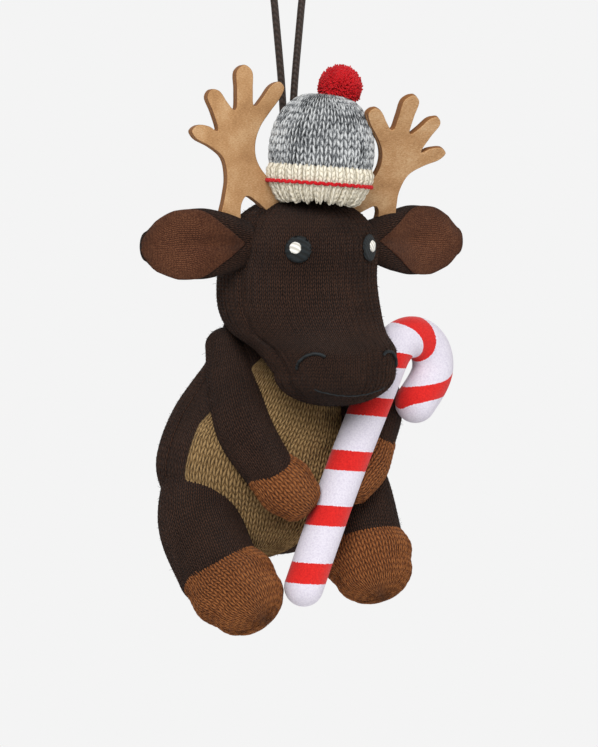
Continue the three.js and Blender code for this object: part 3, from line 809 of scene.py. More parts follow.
@dataclass(frozen=True)
class Sizes:
    """The moose's own sizes in millimetres, as its CAD model has them."""

    cord_diameter: float = 1.9
    cord_drop: float = 53
    head_height: float = 56
    head_width: float = 39.5
    head_depth: float = 39
    crown_back: float = 8
    torso_length: float = 62
    torso_width: float = 53
    torso_depth: float = 36
    neck_drop: float = 31
    torso_back: float = 4
    hip_lean: float = 7
    seam_gap: float = 0.3
    arm_length: float = 33
    arm_width: float = 13.8
    mitt_length: float = 17
    mitt_width: float = 14.6
    leg_length: float = 28
    leg_width: float = 21
    foot_length: float = 20
    foot_width: float = 22.5
    ear_length: float = 28
    ear_height: float = 17.5
    ear_thickness: float = 8
    antler_height: float = 37
    antler_thickness: float = 3
    hat_radius: float = 13
    hat_crown_height: float = 18
    hat_band_height: float = 7.6
    hat_tilt: float = math.radians(4.5)
    pompom_diameter: float = 11
    cane_diameter: float = 9.8
    cane_shaft: float = 63.2
    hook_radius: float = 7.2
    hook_end: float = 6.2
    hook_swell: float = 1.06
    cane_lean: float = math.radians(26.3)
    cane_yaw: float = math.radians(13.5)
    hook_turn: float = math.radians(194)

    @property
    def crown(self) -> float:
        """The crown's height."""
        return -self.cord_drop

    @property
    def neck(self) -> np.ndarray:
        """The top of the torso."""
        return np.array([0.0, self.torso_back, self.crown - self.neck_drop])


SIZES = Sizes()


def head_form() -> SoftForm:
    """The head: a round crown that runs down and forward to the muzzle."""
    shares = [
        (0.26, 0, 0.97, 0.98),
        (0.39, -0.06, 1, 1.04),
        (0.53, -0.03, 1.01, 1.09),
        (0.625, 0.07, 0.96, 1.12),
        (0.705, 0.32, 0.88, 0.86),
        (0.8, 0.44, 0.79, 0.6),
    ]
    s = SIZES
    turn = 0.07  # the muzzle drifts to the moose's left as it runs forward
    places = []
    for down, forward, _, _ in shares:
        ahead = forward * s.head_depth
        places.append((ahead * turn, -s.crown_back - ahead, s.crown - down * s.head_height))
    girths = [(wide * s.head_width / 2, deep * s.head_depth / 2) for _, _, wide, deep in shares]
    return SoftForm(places, girths, blunt=0.7, axis=(0, 0, -1))


def torso_form() -> SoftForm:
    """The torso: narrow at the neck and full at the hips."""
    shares = [
        (0.1, 0, 0, 0.58, 0.64),
        (0.3, 0.2, -0.02, 0.8, 0.86),
        (0.48, 0.5, 0, 0.97, 1),
        (0.65, 0.85, 0.02, 1.03, 1.02),
        (0.79, 1, 0.04, 0.91, 0.86),
    ]
    s = SIZES
    x, y, z = s.neck
    places = [
        (x - lean * s.hip_lean, y + back * s.torso_depth, z - down * s.torso_length)
        for down, lean, back, _, _ in shares
    ]
    girths = [(wide * s.torso_width / 2, deep * s.torso_depth / 2) for *_, wide, deep in shares]
    return SoftForm(places, girths)


@dataclass
class Stage:
    """Camera, lamps, world and floor, as a plain pale studio."""

    mm_per_pixel: float = 0.25
    cord_x_px: float = 288
    origin_y_px: float = -22
    frame_px: tuple[int, int] = (598, 747)
    azimuth: float = math.radians(-25)
    elevation: float = math.radians(4)
    distance: float = 1.1
    pale: float = 0.905
    sky: float = 0.42
    sensor: float = 36
    muzzle_forward: float = 10
    floor_radius: float = 0.42
    floor_drop: float = 0.3
    floor_grain: float = 2.5

    def build(self) -> None:
        """Makes the camera first, then the light."""
        self.camera()
        self.world()
        self.lamps()
        self.floor()

    def camera(self) -> None:
        """A long lens at the photograph's angle."""
        right = Vector((math.cos(self.azimuth), math.sin(self.azimuth), 0))
        back = Vector((
            math.sin(self.azimuth) * math.cos(self.elevation),
            -math.cos(self.azimuth) * math.cos(self.elevation),
            math.sin(self.elevation),
        ))
        width, height = self.frame_px
        middle = right * (width / 2 - self.cord_x_px) * self.mm_per_pixel * MM
        middle.z = -(height / 2 - self.origin_y_px) * self.mm_per_pixel * MM
        # The middle of the figure's depth lies this far in front of the cord
        forward = Vector((0, -self.muzzle_forward * MM, 0))
        middle += forward - right * forward.dot(right)
        data = bpy.data.cameras.new("photo_camera")
        data.sensor_width = self.sensor
        data.lens = self.sensor * self.distance / (height * self.mm_per_pixel * MM)
        camera = in_scene("photo_camera", data)
        camera.location = middle + back * self.distance
        camera.rotation_mode = "QUATERNION"
        camera.rotation_quaternion = (-back).to_track_quat("-Z", "Y")
        bpy.context.scene.camera = camera
        bpy.context.scene.view_settings.view_transform = "Standard"

    def world(self) -> None:
        """Even pale light, with the plain backdrop for what sees the world straight."""
        world = bpy.data.worlds.new("studio")
        bpy.context.scene.world = world
        world.use_nodes = True
        tree = world.node_tree
        tree.nodes.clear()
        path = add_node(tree, "ShaderNodeLightPath")
        straight = [path.outputs["Is Camera Ray"], path.outputs["Is Transmission Ray"]]
        seen = add_node(tree, MATHS, straight, operation="MAXIMUM").outputs[0]
        mirrored = [seen, path.outputs["Is Glossy Ray"]]
        shown = add_node(tree, MATHS, mirrored, operation="MAXIMUM").outputs[0]
        light = add_node(tree, "ShaderNodeBackground", {"Color": (1, 1, 1, 1), "Strength": self.sky})
        pale = (self.pale, self.pale, self.pale, 1)
        backdrop = add_node(tree, "ShaderNodeBackground", {"Color": pale, "Strength": 1.0})
        both = [shown, light.outputs[0], backdrop.outputs[0]]
        mixed = add_node(tree, "ShaderNodeMixShader", both)
        add_node(tree, "ShaderNodeOutputWorld", {"Surface": mixed.outputs[0]})

    def lamps(self) -> None:
        """A soft key from the upper left, a fill from the right and a faint rim."""
        # Name, place from the target and size in metres, and power in watts
        plans = [
            ("key", (-0.45, -0.75, 0.55), 0.55, 8.8),
            ("fill", (0.8, -0.6, 0.1), 0.8, 3.0),
            ("rim", (0.3, 0.8, 0.5), 0.5, 3.3),
        ]
        target = Vector((0, 0, -0.1))
        for name, place, size, power in plans:
            data = bpy.data.lights.new(name, "AREA")
            data.size = size
            data.energy = power
            lamp = in_scene(name, data)
            lamp.location = Vector(place) + target
            lamp.rotation_mode = "QUATERNION"
            lamp.rotation_quaternion = (target - lamp.location).to_track_quat("-Z", "Y")

    def floor(self) -> None:
        """A round pale floor well below the hanging ornament."""
        turns = np.linspace(0, FULL_TURN, 64, endpoint=False)
        rim = self.floor_radius
        ring = [(rim * math.cos(turn), rim * math.sin(turn), -self.floor_drop) for turn in turns]
        mesh = bpy.data.meshes.new("floor")
        mesh.from_pydata(ring, [], [tuple(range(len(ring)))])
        floor = in_scene("floor", mesh)
        material, tree, shader = new_material("painted_board_white")
        grain = add_node(tree, NOISE, {"Scale": 1 / (self.floor_grain * MM)}).outputs[0]
        paint = add_node(tree, RAMP, [grain], [(0.0, "f2f2f2"), (1.0, "f6f6f6")])
        tree.links.new(paint.outputs["Color"], shader.inputs["Base Color"])
        shader.inputs["Roughness"].default_value = 0.9
        mesh.materials.append(material)


@dataclass
class HangingCord:
    """The cord's loop, as one curve along its route in metres."""

    route: Sequence[tuple[float, float, float]] = field(default_factory=lambda: [
        (-0.00102, 0, -0.0546), (-0.00102, 0, -0.0515), (-0.00105, 0, -0.047), (-0.0011, 0, -0.042),
        (-0.0012, 0, -0.037), (-0.00145, 0, -0.032), (-0.00185, 0, -0.026), (-0.0024, 0, -0.020),
        (-0.0030, 0, -0.014), (-0.0036, 0, -0.008), (-0.00395, 0, -0.004), (-0.0035, 0, -0.0011),
        (-0.0020, 0, 0.00055), (0, 0, 0.0010), (0.0020, 0, 0.00055), (0.0035, 0, -0.0011),
        (0.00395, 0, -0.004), (0.0036, 0, -0.008), (0.0030, 0, -0.014), (0.0024, 0, -0.020),
        (0.00185, 0, -0.026), (0.00145, 0, -0.032), (0.0012, 0, -0.037), (0.0011, 0, -0.042),
        (0.00105, 0, -0.047), (0.00102, 0, -0.0515), (0.00102, 0, -0.0546),
    ])

    def build(self) -> None:
        """Lays the cord."""
        fine = SoftForm.spline(np.array(self.route), np.linspace(0, 1, 131))
        curve = bpy.data.curves.new("hanging_loop", "CURVE")
        curve.dimensions = "3D"
        curve.bevel_depth = SIZES.cord_diameter / 2 * MM
        curve.bevel_resolution = 5
        curve.use_fill_caps = True
        spline = curve.splines.new("POLY")
        spline.points.add(len(fine) - 1)
        spline.points.foreach_set("co", np.column_stack([fine, np.ones(len(fine))]).ravel())
        spline.use_smooth = True
        cord = in_scene("hanging_loop", curve)
        curve.materials.append(CORD_FINISH.build())
        dress(cord, "cord", ["hang_cord"])


def crease(at: Sequence[float], depth: float, width: float) -> Sculpt:
    """A sewn seam that draws a form's skin in along its length.

    Args:
        at: The seams' turns.
        depth: How far each is drawn in, in millimetres.
        width: How wide its valley is, in millimetres.

    Returns:
        A change of shape for knitted and patch.
    """

    def shaped(points: np.ndarray, turn: np.ndarray, along: np.ndarray) -> np.ndarray:
        """Draws the points in towards their ring's middle.

        Args:
            points: The grid's points in millimetres.
            turn: Each point's turn round the form.
            along: Each point's place along the form, from 0 to 1.

        Returns:
            The moved points.
        """
        inward = points.mean(axis=1, keepdims=True) - points
        reach = np.linalg.norm(inward, axis=-1)
        drawn = np.zeros_like(turn)
        for seam in at:
            drawn += depth * np.exp(-((turn_apart(turn, seam) * reach / width) ** 2))
        # Seams run out at the poles
        ends = np.clip(np.minimum(along, 1 - along) / 0.12, 0, 1)
        return points + unit(inward) * (drawn * ends)[..., None]

    return shaped


def fuzz(
    name: str, form: SoftForm, material: bpy.types.Material, count: int, length: float, seed: int
) -> bpy.types.Object:
    """Loose fibres that stand off a brushed skin.

    Args:
        name: The piece's name.
        form: The form they stand on.
        material: Their finish.
        count: How many there are.
        length: The longest, in millimetres.
        seed: Keeps them the same each run.

    Returns:
        The new piece, not yet dressed.
    """
    dice = np.random.default_rng(seed)
    turn = dice.uniform(0, FULL_TURN, (1, count))
    along = dice.uniform(0.02, 0.98, (1, count))
    root = form.surface(turn, along, -0.1)[0]
    out = unit(form.surface(turn, along, 1.0)[0] - root)
    lean = dice.normal(0, 0.8, (count, 3))
    reach = dice.uniform(0.35, 1.0, (count, 1)) * length
    middle = root + out * reach * 0.5 + lean * reach * 0.2
    tip = root + out * reach * 0.8 + lean * reach * 0.55
    return strands(name, np.stack([root, middle, tip], axis=1), (0.045, 0.04, 0.02), material)


@dataclass
class Head:
    """The head's skin with its seams and loose fibres, and its embroidered face."""

    eye_out: float = 0.51
    eye_down: float = 0.252
    eye_width: float = 6.4
    eye_height: float = 6.7
    glint_width: float = 2.8
    nostril_out: float = 0.5
    nostril_down: float = 0.763
    nostril_radius: float = 3.5
    shift: float = 1.2
    thread: float = 0.3
    thread_points: int = 13
    eye_dome: float = 0.45
    eye_slope: float = 0.25
    glint_dome: float = 0.3
    glint_slope: float = 0.6
    glint_shift: tuple[float, float] = (0.7, 0.35)
    mouth_radius: float = 26
    mouth_down: float = 0.89
    seams: tuple[float, ...] = (math.radians(20), math.radians(160))
    seam_depth: float = 0.8
    seam_width: float = 1.1
    form: SoftForm = field(init=False)
    shaped: Sculpt = field(init=False)

    def __post_init__(self) -> None:
        """Makes the form that the face lies on, and its seams."""
        self.form = head_form()
        self.shaped = crease(self.seams, self.seam_depth, self.seam_width)

    def build(self) -> None:
        """Builds the skin and then the face."""
        dark = DARK_KNIT.build()
        knitted(
            "head_skin", self.form, DARK_KNIT, dark, "head", ["head"],
            spacing=0.33, sculpt=self.shaped, raised=0.26,
        )
        fibres = fuzz("head_fuzz", self.form, dark, count=6000, length=0.7, seed=11)
        dress(fibres, "head")
        black = BLACK_THREAD.build()
        white = WHITE_THREAD.build()
        for side in Side:
            self.eye(side, black, white)
            self.nostril(side, black)
        self.mouth(black)

    def spot(self, out: float, down: float) -> Spot:
        """A place on the face from shares of its half-width and its height."""
        s = SIZES
        return Spot.on(self.form, out * s.head_width / 2 + self.shift, s.crown - down * s.head_height)

    def satin(self, width: float, height: float, dome: float, spot: Spot, slope: float) -> np.ndarray:
        """Satin stitch that fills an oval: threads side by side, each one arched over the padding.

        Args:
            width: The oval's width in millimetres.
            height: The oval's height in millimetres.
            dome: How high its middle stands.
            spot: Where it lies.
            slope: The stitches' turn from upright.

        Returns:
            The threads' paths.
        """
        # The threads lie closer than their thickness, so none shows a gap
        pitch = self.thread * 0.72
        rows = np.arange(-width / 2 + pitch / 2, width / 2, pitch)
        step = np.linspace(-1, 1, self.thread_points)
        half = height / 2 * np.sqrt(np.clip(1 - (rows / (width / 2)) ** 2, 0.02, 1))
        x = np.repeat(rows[:, None], len(step), axis=1)
        y = half[:, None] * step[None, :]
        along, aside = math.cos(slope), math.sin(slope)
        flat = np.stack([x * along - y * aside, x * aside + y * along], axis=-1)
        round_off = np.clip(1 - (x / (width / 2)) ** 2 * 0.75 - step[None, :] ** 2 * 0.9, 0, 1) ** 0.5
        return spot.lay(flat, round_off * dome + 0.1)

    def eye(self, side: Side, black: bpy.types.Material, white: bpy.types.Material) -> None:
        """A black satin-stitched oval with a white glint on it, a little outward and up.

        Args:
            side: The moose's own side.
            black: The oval's thread.
            white: The glint's thread.
        """
        spot = self.spot(side.value * self.eye_out, self.eye_down)
        even = [self.thread / 2] * self.thread_points
        paths = self.satin(self.eye_width, self.eye_height, self.eye_dome, spot, self.eye_slope * side.value)
        eye = strands("eye_stitches_" + side.tag, paths, even, black, 6)
        dress(eye, "head", ["eye_" + side.tag])
        outward, up = self.glint_shift
        place = spot.place + spot.right * outward * side.value + spot.up * up + spot.out * self.eye_dome
        top = Spot(place, spot.out, spot.right, spot.up)
        paths = self.satin(self.glint_width, self.glint_width, self.glint_dome, top, self.glint_slope)
        glint = strands("eye_glint_stitches_" + side.tag, paths, even, white, 6)
        dress(glint, "head", ["eye_glint_" + side.tag])

    def on_skin(self, x: np.ndarray, z: np.ndarray, lift: float) -> np.ndarray:
        """Points on the face under given X and Z, lifted off the skin."""
        found = [Spot.on(self.form, float(a), float(b)) for a, b in zip(x, z)]
        return np.array([spot.place + spot.out * lift for spot in found])

    def nostril(self, side: Side, black: bpy.types.Material) -> None:
        """An open arc of stem stitch.

        Args:
            side: The moose's own side.
            black: Its thread.
        """
        s = SIZES
        # The two arcs mirror each other. Their ends are in half turns
        start, end = (0.3, 1.05) if side is Side.RIGHT else (-0.05, 0.7)
        turn = np.linspace(start * math.pi, end * math.pi, 26)
        middle = side.value * self.nostril_out * s.head_width / 2 + self.shift
        x = middle + self.nostril_radius * np.cos(turn)
        z = s.crown - self.nostril_down * s.head_height + self.nostril_radius * np.sin(turn)
        path = self.on_skin(x, z, lift=0.3)
        self.stem_stitch("nostril_stitches_" + side.tag, path, 0.42, black, "nostril_" + side.tag)

    def mouth(self, black: bpy.types.Material) -> None:
        """A fine stitched curve under the muzzle.

        Args:
            black: Its thread.
        """
        s = SIZES
        turn = np.linspace(1.38 * math.pi, 1.62 * math.pi, 24)
        x = self.mouth_radius * np.cos(turn) + self.shift
        z = s.crown - self.mouth_down * s.head_height + self.mouth_radius * (1 + np.sin(turn))
        path = self.on_skin(x, z, lift=0.15)
        self.stem_stitch("mouth_stitches", path, 0.2, black, "mouth_seam")

    @staticmethod
    def stem_stitch(
        name: str, path: np.ndarray, radius: float, material: bpy.types.Material, node: str
    ) -> None:
        """Short stitches that overlap along a path.

        Args:
            name: The piece's name.
            path: The path on the skin, in millimetres.
            radius: Half the line's width.
            material: The thread's finish.
            node: The CAD node that it stands for.
        """
        fine = SoftForm.spline(path, np.linspace(0, 1, 121))
        # Each stitch is nine fine points long, and a new one starts at every third
        reach, step = 9, 3
        starts = range(0, len(fine) - reach, step)
        paths = np.stack([fine[start : start + reach : 2] for start in starts])
        sway = np.sin(np.linspace(0, math.pi, paths.shape[1]))
        paths = paths + np.array([0, -1.0, 0]) * (sway * radius * 0.7)[None, :, None]
        tapered = [radius * share for share in (0.45, 0.85, 1.0, 0.85, 0.45)]
        dress(strands(name, paths, tapered, material, 7), "head", [node])


@dataclass
class Ear:
    """A cupped ear of dark knit with a brown leaf of lining sewn in its hollow."""

    side: Side
    out_share: float = 0.43
    forward_share: float = 0.12
    down_share: float = 0.23
    cup: float = 2.4
    fold: float = 1.7
    leaf_span: tuple[float, float] = (0.17, 0.985)
    # Out, forward and down in shares of the length, then half the height and the thickness
    shares: Sequence[tuple[float, ...]] = (
        (0, 0, 0, 0.62, 0.8), (0.2, 0, 0, 0.86, 1), (0.42, -0.05, 0, 1, 1), (0.64, -0.1, 0.01, 0.96, 0.9),
        (0.82, -0.13, 0.02, 0.7, 0.7), (0.91, -0.14, 0.02, 0.42, 0.5),
    )
    form: SoftForm = field(init=False)
    front: float = field(init=False)

    def __post_init__(self) -> None:
        """Makes the ear's form, and the turn round it that faces forward."""
        s = SIZES
        x = self.side.value * s.head_width * self.out_share
        y = -s.crown_back - s.head_depth * self.forward_share
        z = s.crown - s.head_height * self.down_share
        places = [
            (x + self.side.value * out * s.ear_length, y - forward * s.ear_length, z - down * s.ear_length)
            for out, forward, down, _, _ in self.shares
        ]
        girths = [(high * s.ear_height / 2, thick * s.ear_thickness / 2) for *_, high, thick in self.shares]
        self.form = SoftForm(places, girths, across=(0, 0, 1))
        self.front = self.side.value * math.pi / 2

    def cupped(self, points: np.ndarray, turn: np.ndarray, along: np.ndarray) -> np.ndarray:
        """Presses the front in, most at its middle.

        Args:
            points: The grid's points in millimetres.
            turn: Each point's turn round the form.
            along: Each point's place along the form, from 0 to 1.

        Returns:
            The moved points.
        """
        facing = np.clip(np.cos(turn - self.front), 0, 1)
        run = np.clip((along - 0.12) / 0.8, 0, 1)
        hollow = facing**1.6 * np.sin(run * math.pi) ** 0.7 * self.cup
        # A fold runs out from the root along the middle
        middle = np.exp(-((turn_apart(turn, self.front) / 0.24) ** 2))
        hollow += middle * np.clip(1 - np.abs(along - 0.42) / 0.36, 0, 1) * self.fold
        pressed = points.copy()
        pressed[..., 1] += hollow
        return pressed

    @staticmethod
    def leaf_half(at: np.ndarray) -> np.ndarray:
        """Half the lining's width as a turn, from the root to its blunt tip."""
        widening = np.sin(np.clip(at / 0.6, 0, 1) * math.pi / 2) ** 1.1
        return 1.42 * widening * np.clip((1 - at) / 0.12, 0, 1) ** 0.5

    def build(self, dark: bpy.types.Material) -> None:
        """Builds the shell and the lining.

        Args:
            dark: The dark knit's material.
        """
        tag = self.side.tag
        node = "ear_" + tag
        shell = "ear_shell_" + tag
        knitted(shell, self.form, DARK_KNIT, dark, node, [node], sculpt=self.cupped)
        lining = patch(
            "ear_leaf_" + tag,
            self.form,
            LINING_KNIT,
            self.leaf_span,
            lambda at: np.full_like(at, self.front),
            self.leaf_half,
            proud=0.5,
            shaped=self.cupped,
        )
        dress(lining, "ear_" + tag, ["ear_lining_" + tag])


@dataclass
class Antler:
    """An antler cut from two layers of felt, glued face to face, with bare cut edges."""

    side: Side
    out_share: float = 0.555
    layers: int = 2
    bevel: float = 0.28
    trim: float = 0.25
    back_share: float = 0.12
    # The outline out and up, in shares of the height
    shares: Sequence[tuple[float, float]] = (
        (0.07, -0.1), (0.036, 0.11), (0.018, 0.24), (0.045, 0.37), (0.134, 0.443), (0.242, 0.5),
        (0.274, 0.557), (0.224, 0.6), (0.134, 0.589), (0.085, 0.56), (0.12, 0.679), (0.161, 0.784),
        (0.125, 0.836), (0.063, 0.825), (0.0, 0.744), (-0.045, 0.7), (-0.054, 0.825), (-0.054, 0.955),
        (-0.116, 1.0), (-0.179, 0.955),
        (-0.185, 0.825), (-0.192, 0.725), (-0.242, 0.776), (-0.314, 0.865), (-0.376, 0.886), (-0.416, 0.841),
        (-0.385, 0.768), (-0.314, 0.679), (-0.242, 0.581), (-0.206, 0.484), (-0.206, 0.386), (-0.242, 0.305),
        (-0.33, 0.208), (-0.42, 0.1), (-0.34, -0.02), (-0.2, 0.075), (-0.134, 0.11), (-0.1, 0.06),
        (-0.08, -0.1),
    )
    drop: float = field(init=False)
    turn: float = field(init=False)
    lean: float = field(init=False)

    def __post_init__(self) -> None:
        """Sets how low the antler is sewn, its turn as drawn and its lean forward or back."""
        self.drop, self.turn, self.lean = 0.1, 0.0, 0.0
        if self.side is Side.LEFT:
            self.drop, self.turn, self.lean = 0.14, math.radians(3), math.radians(-31)

    def outline(self) -> np.ndarray:
        """The antler's smooth closed outline, across and up in millimetres."""
        corners = np.array(self.shares) * SIZES.antler_height
        corners[:, 0] *= self.side.value
        straight, aside = math.cos(self.turn), math.sin(self.turn)
        corners = corners @ np.array([[straight, -aside], [aside, straight]])
        ring = np.vstack([corners[-1:], corners, corners[:2]])
        # Five steps to each corner. The first and the last two spans only carry the curve on
        steps = 5
        at = np.linspace(0, 1, (len(ring) - 1) * steps + 1)
        smooth = SoftForm.spline(np.column_stack([ring, np.zeros(len(ring))]), at)
        return smooth[steps : -2 * steps, :2]

    def build(self, felt: bpy.types.Material) -> None:
        """Builds the layers and joins them.

        Args:
            felt: The felt's material.
        """
        s = SIZES
        closed = self.outline()
        place = Vector((
            self.side.value * s.head_width * self.out_share,
            -s.crown_back - s.head_depth * self.back_share + s.antler_thickness / 2,
            s.crown - self.drop * s.head_height,
        ))
        thick = s.antler_thickness / self.layers
        plates = []
        for layer in range(self.layers):
            drift = (layer + 0.5) * thick - s.antler_thickness / 2
            # The layers were cut together but not quite alike
            shift = Vector((0.12 * layer, drift, -0.1 * layer))
            plates.append(self.plate(closed, thick - 0.12, place + shift))
        bpy.ops.object.select_all(action="DESELECT")
        for plate in plates:
            plate.select_set(True)
        bpy.context.view_layer.objects.active = plates[0]
        bpy.ops.object.join()
        antler = plates[0]
        antler.name = "antler_felt_" + self.side.tag
        antler.data.materials.clear()
        antler.data.materials.append(felt)
        dress(antler, "head", ["antler_" + self.side.tag])

    def plate(self, outline: np.ndarray, thickness: float, place: Vector) -> bpy.types.Object:
        """One felt layer as a mesh.

        Args:
            outline: Its outline across and up, in millimetres.
            thickness: The layer's thickness.
            place: Where the outline's origin lies, in millimetres.

        Returns:
            The layer's object.
        """
        curve = bpy.data.curves.new("felt_outline", "CURVE")
        curve.dimensions = "2D"
        curve.fill_mode = "BOTH"
        curve.bevel_depth = self.bevel * MM
        curve.bevel_resolution = 3
        curve.extrude = (thickness / 2 - self.bevel) * MM
        curve.offset = -(self.bevel + self.trim) * MM
        spline = curve.splines.new("POLY")
        spline.points.add(len(outline) - 1)
        flat, weight = np.zeros(len(outline)), np.ones(len(outline))
        spline.points.foreach_set("co", np.column_stack([outline * MM, flat, weight]).ravel())
        spline.use_cyclic_u = True
        maker = in_scene("felt_outline", curve)
        bpy.context.view_layer.update()
        mesh = bpy.data.meshes.new_from_object(maker.evaluated_get(bpy.context.evaluated_depsgraph_get()))
        bpy.data.objects.remove(maker)
        bpy.data.curves.remove(curve)
        flat = np.empty(len(mesh.vertices) * 3)
        mesh.vertices.foreach_get("co", flat)
        flat = flat.reshape(-1, 3)
        up, back = flat[:, 1], -flat[:, 2]
        stood = np.column_stack([
            flat[:, 0],
            back * math.cos(self.lean) + up * math.sin(self.lean),
            up * math.cos(self.lean) - back * math.sin(self.lean),
        ]) + np.array(place) * MM
        mesh.vertices.foreach_set("co", stood.ravel())
        mesh.update()
        return in_scene("felt_layer", mesh)


@dataclass
class Hat:
    """A knitted hat: a marled grey crown, a ribbed cream band with a red row, and a trimmed pompom."""

    wales: int = 40
    ribs: int = 52
    scallops: int = 19
    spacing: float = 0.22
    raised: float = 0.6
    drawn_in: float = 6
    rib_height: float = 0.5
    ripple_height: float = 0.3
    rib_sink: float = 0.1
    scallop_height: float = 0.45
    stripe_share: float = 0.38
    yarn_ends: int = 5200
    forward_share: float = 0.25
    drop: float = 1.8
    pompom_rise: float = 0.2
    pompom_out: float = 3.4

    def placed(self, points: np.ndarray) -> np.ndarray:
        """Tilts points from the hat's own frame and sets them on the head.

        Args:
            points: Points round the hat's own upright axis, in millimetres.

        Returns:
            The same points in the shared frame.
        """
        s = SIZES
        turn = np.array([
            [math.cos(s.hat_tilt), 0, math.sin(s.hat_tilt)],
            [0, 1, 0],
            [-math.sin(s.hat_tilt), 0, math.cos(s.hat_tilt)],
        ])
        seat = np.array([0.0, -s.crown_back - s.head_depth * self.forward_share, s.crown - self.drop])
        return points @ turn.T + seat

    def turned(self, profile: np.ndarray, columns: int) -> tuple[np.ndarray, np.ndarray, np.ndarray]:
        """Turns a profile of radius and height round the hat's axis.

        Args:
            profile: Radii and heights in millimetres.
            columns: How many columns there are.

        Returns:
            The points, the turns, and the length along the profile at each ring.
        """
        fine = SoftForm.spline(np.column_stack([profile, np.zeros(len(profile))]), np.linspace(0, 1, 400))
        run = np.concatenate([[0], np.cumsum(np.linalg.norm(np.diff(fine, axis=0), axis=1))])
        rings = np.linspace(0, run[-1], max(8, round(run[-1] / self.spacing)))
        radius = np.maximum(np.interp(rings, run, fine[:, 0]), 0.02)
        height = np.interp(rings, run, fine[:, 1])
        turn = np.linspace(0, FULL_TURN, columns, endpoint=False)
        x, y = radius[:, None] * np.cos(turn), radius[:, None] * np.sin(turn)
        points = np.stack([x, y, np.repeat(height[:, None], columns, axis=1)], axis=-1)
        return points, turn, rings

    def stitch_map(self, run: np.ndarray, columns: int, course: float) -> np.ndarray:
        """The stitches counted across and up at each ring and column.

        Args:
            run: The length along the profile at each ring.
            columns: How many columns the points have. The map has one more, to close it.
            course: A stitch's height in millimetres.

        Returns:
            The counts, as a grid of pairs.
        """
        across = np.linspace(0, self.wales, columns + 1)
        return np.stack(np.broadcast_arrays(across[None, :], run[:, None] / course), axis=-1)

    @staticmethod
    def swollen(points: np.ndarray, relief: np.ndarray) -> np.ndarray:
        """Moves points outward along the surface by a relief in millimetres."""
        ahead = np.gradient(points, axis=0)
        around = np.roll(points, -1, axis=1) - np.roll(points, 1, axis=1)
        return points + unit(np.cross(around, ahead)) * relief[..., None]

    def build(self) -> None:
        """Builds the crown, band, red row and pompom."""
        self.crown()
        self.band()
        self.stripe()
        self.pompom()

    def crown(self) -> None:
        """The grey crown in coarse stocking stitch, drawn in at the top."""
        s = SIZES
        shares = [
            (0.8, 0), (0.97, 0.01), (1, 0.12), (0.99, 0.34), (0.9, 0.6), (0.7, 0.82), (0.4, 0.96), (0.02, 1),
        ]
        profile = np.array(shares) * [s.hat_radius - 0.4, s.hat_crown_height - 0.2]
        profile[:, 1] += s.hat_band_height + s.seam_gap
        points, turn, run = self.turned(profile, self.wales * 10)
        across = np.broadcast_to(turn * self.wales / FULL_TURN, points.shape[:2])
        courses = np.broadcast_to(run[:, None] / GREY_KNIT.course, points.shape[:2])
        fade = np.clip((run[-1] - run) / self.drawn_in, 0, 1)[:, None]
        relief = stitch_relief(across, courses, GREY_KNIT.slant) * self.raised * fade
        points = self.placed(self.swollen(points, relief))
        stitches = self.stitch_map(run, points.shape[1], GREY_KNIT.course)
        piece = grid_piece("hat_crown_knit", points, stitches, GREY_KNIT.build())
        dress(piece, "head", ["hat_crown"])

    def rib(self, turn: np.ndarray) -> np.ndarray:
        """The ribs' height from 0 to 1 round the band."""
        return np.abs(np.cos(turn * self.ribs / 2)) ** 0.8

    def band(self) -> None:
        """The cream band in rib, with a lower edge that follows its ribs."""
        s = SIZES
        shares = [(0.5, 0.12), (0.7, 0.0), (0.83, 0.14), (0.95, 0.45), (1, 0.82), (0.94, 1), (0.72, 1.0)]
        profile = np.array(shares) * [s.hat_radius - 0.2, s.hat_band_height]
        points, turn, run = self.turned(profile, self.wales * 12)
        ribs = np.broadcast_to(self.rib(turn), points.shape[:2])
        courses = np.broadcast_to(run[:, None] / CREAM_KNIT.course, points.shape[:2])
        ripple = np.sqrt(np.abs(np.sin(courses * math.pi + ribs * 1.2)))
        relief = ribs * self.rib_height + ripple * ribs * self.ripple_height - self.rib_sink
        points = self.swollen(points, relief)
        # Only the lowest 2.5 mm hangs in scallops
        low = np.clip(1 - points[..., 2] / 2.5, 0, 1)
        scallops = self.scallop_height * (1 + np.cos(turn * self.scallops))
        points[..., 2] -= low * (ribs * 0.2 + scallops)
        points = self.placed(points)
        stitches = self.stitch_map(run, points.shape[1], CREAM_KNIT.course)
        piece = grid_piece("hat_band_knit", points, stitches, CREAM_KNIT.build())
        dress(piece, "head", ["hat_band"])

    def stripe(self) -> None:
        """One row of red stitches, each a V of two strands."""
        s = SIZES
        at = np.linspace(0, 1, 6)
        legs = []
        for lean in (-1, 1):
            for start in np.arange(self.wales) * FULL_TURN / self.wales:
                angle = start + lean * (0.02 + 0.96 * at) * math.pi / self.wales
                radius = s.hat_radius * 0.95 + 0.5 + np.sin(at * math.pi) * 0.2
                height = s.hat_band_height * self.stripe_share + 0.4 + at * 0.5
                legs.append(np.column_stack([radius * np.cos(angle), radius * np.sin(angle), height]))
        radii = (0.3, 0.42, 0.46, 0.46, 0.42, 0.3)
        piece = strands("hat_stripe_stitches", self.placed(np.array(legs)), radii, STRIPE_YARN.build(), 8)
        dress(piece, "head", ["hat_stripe"])

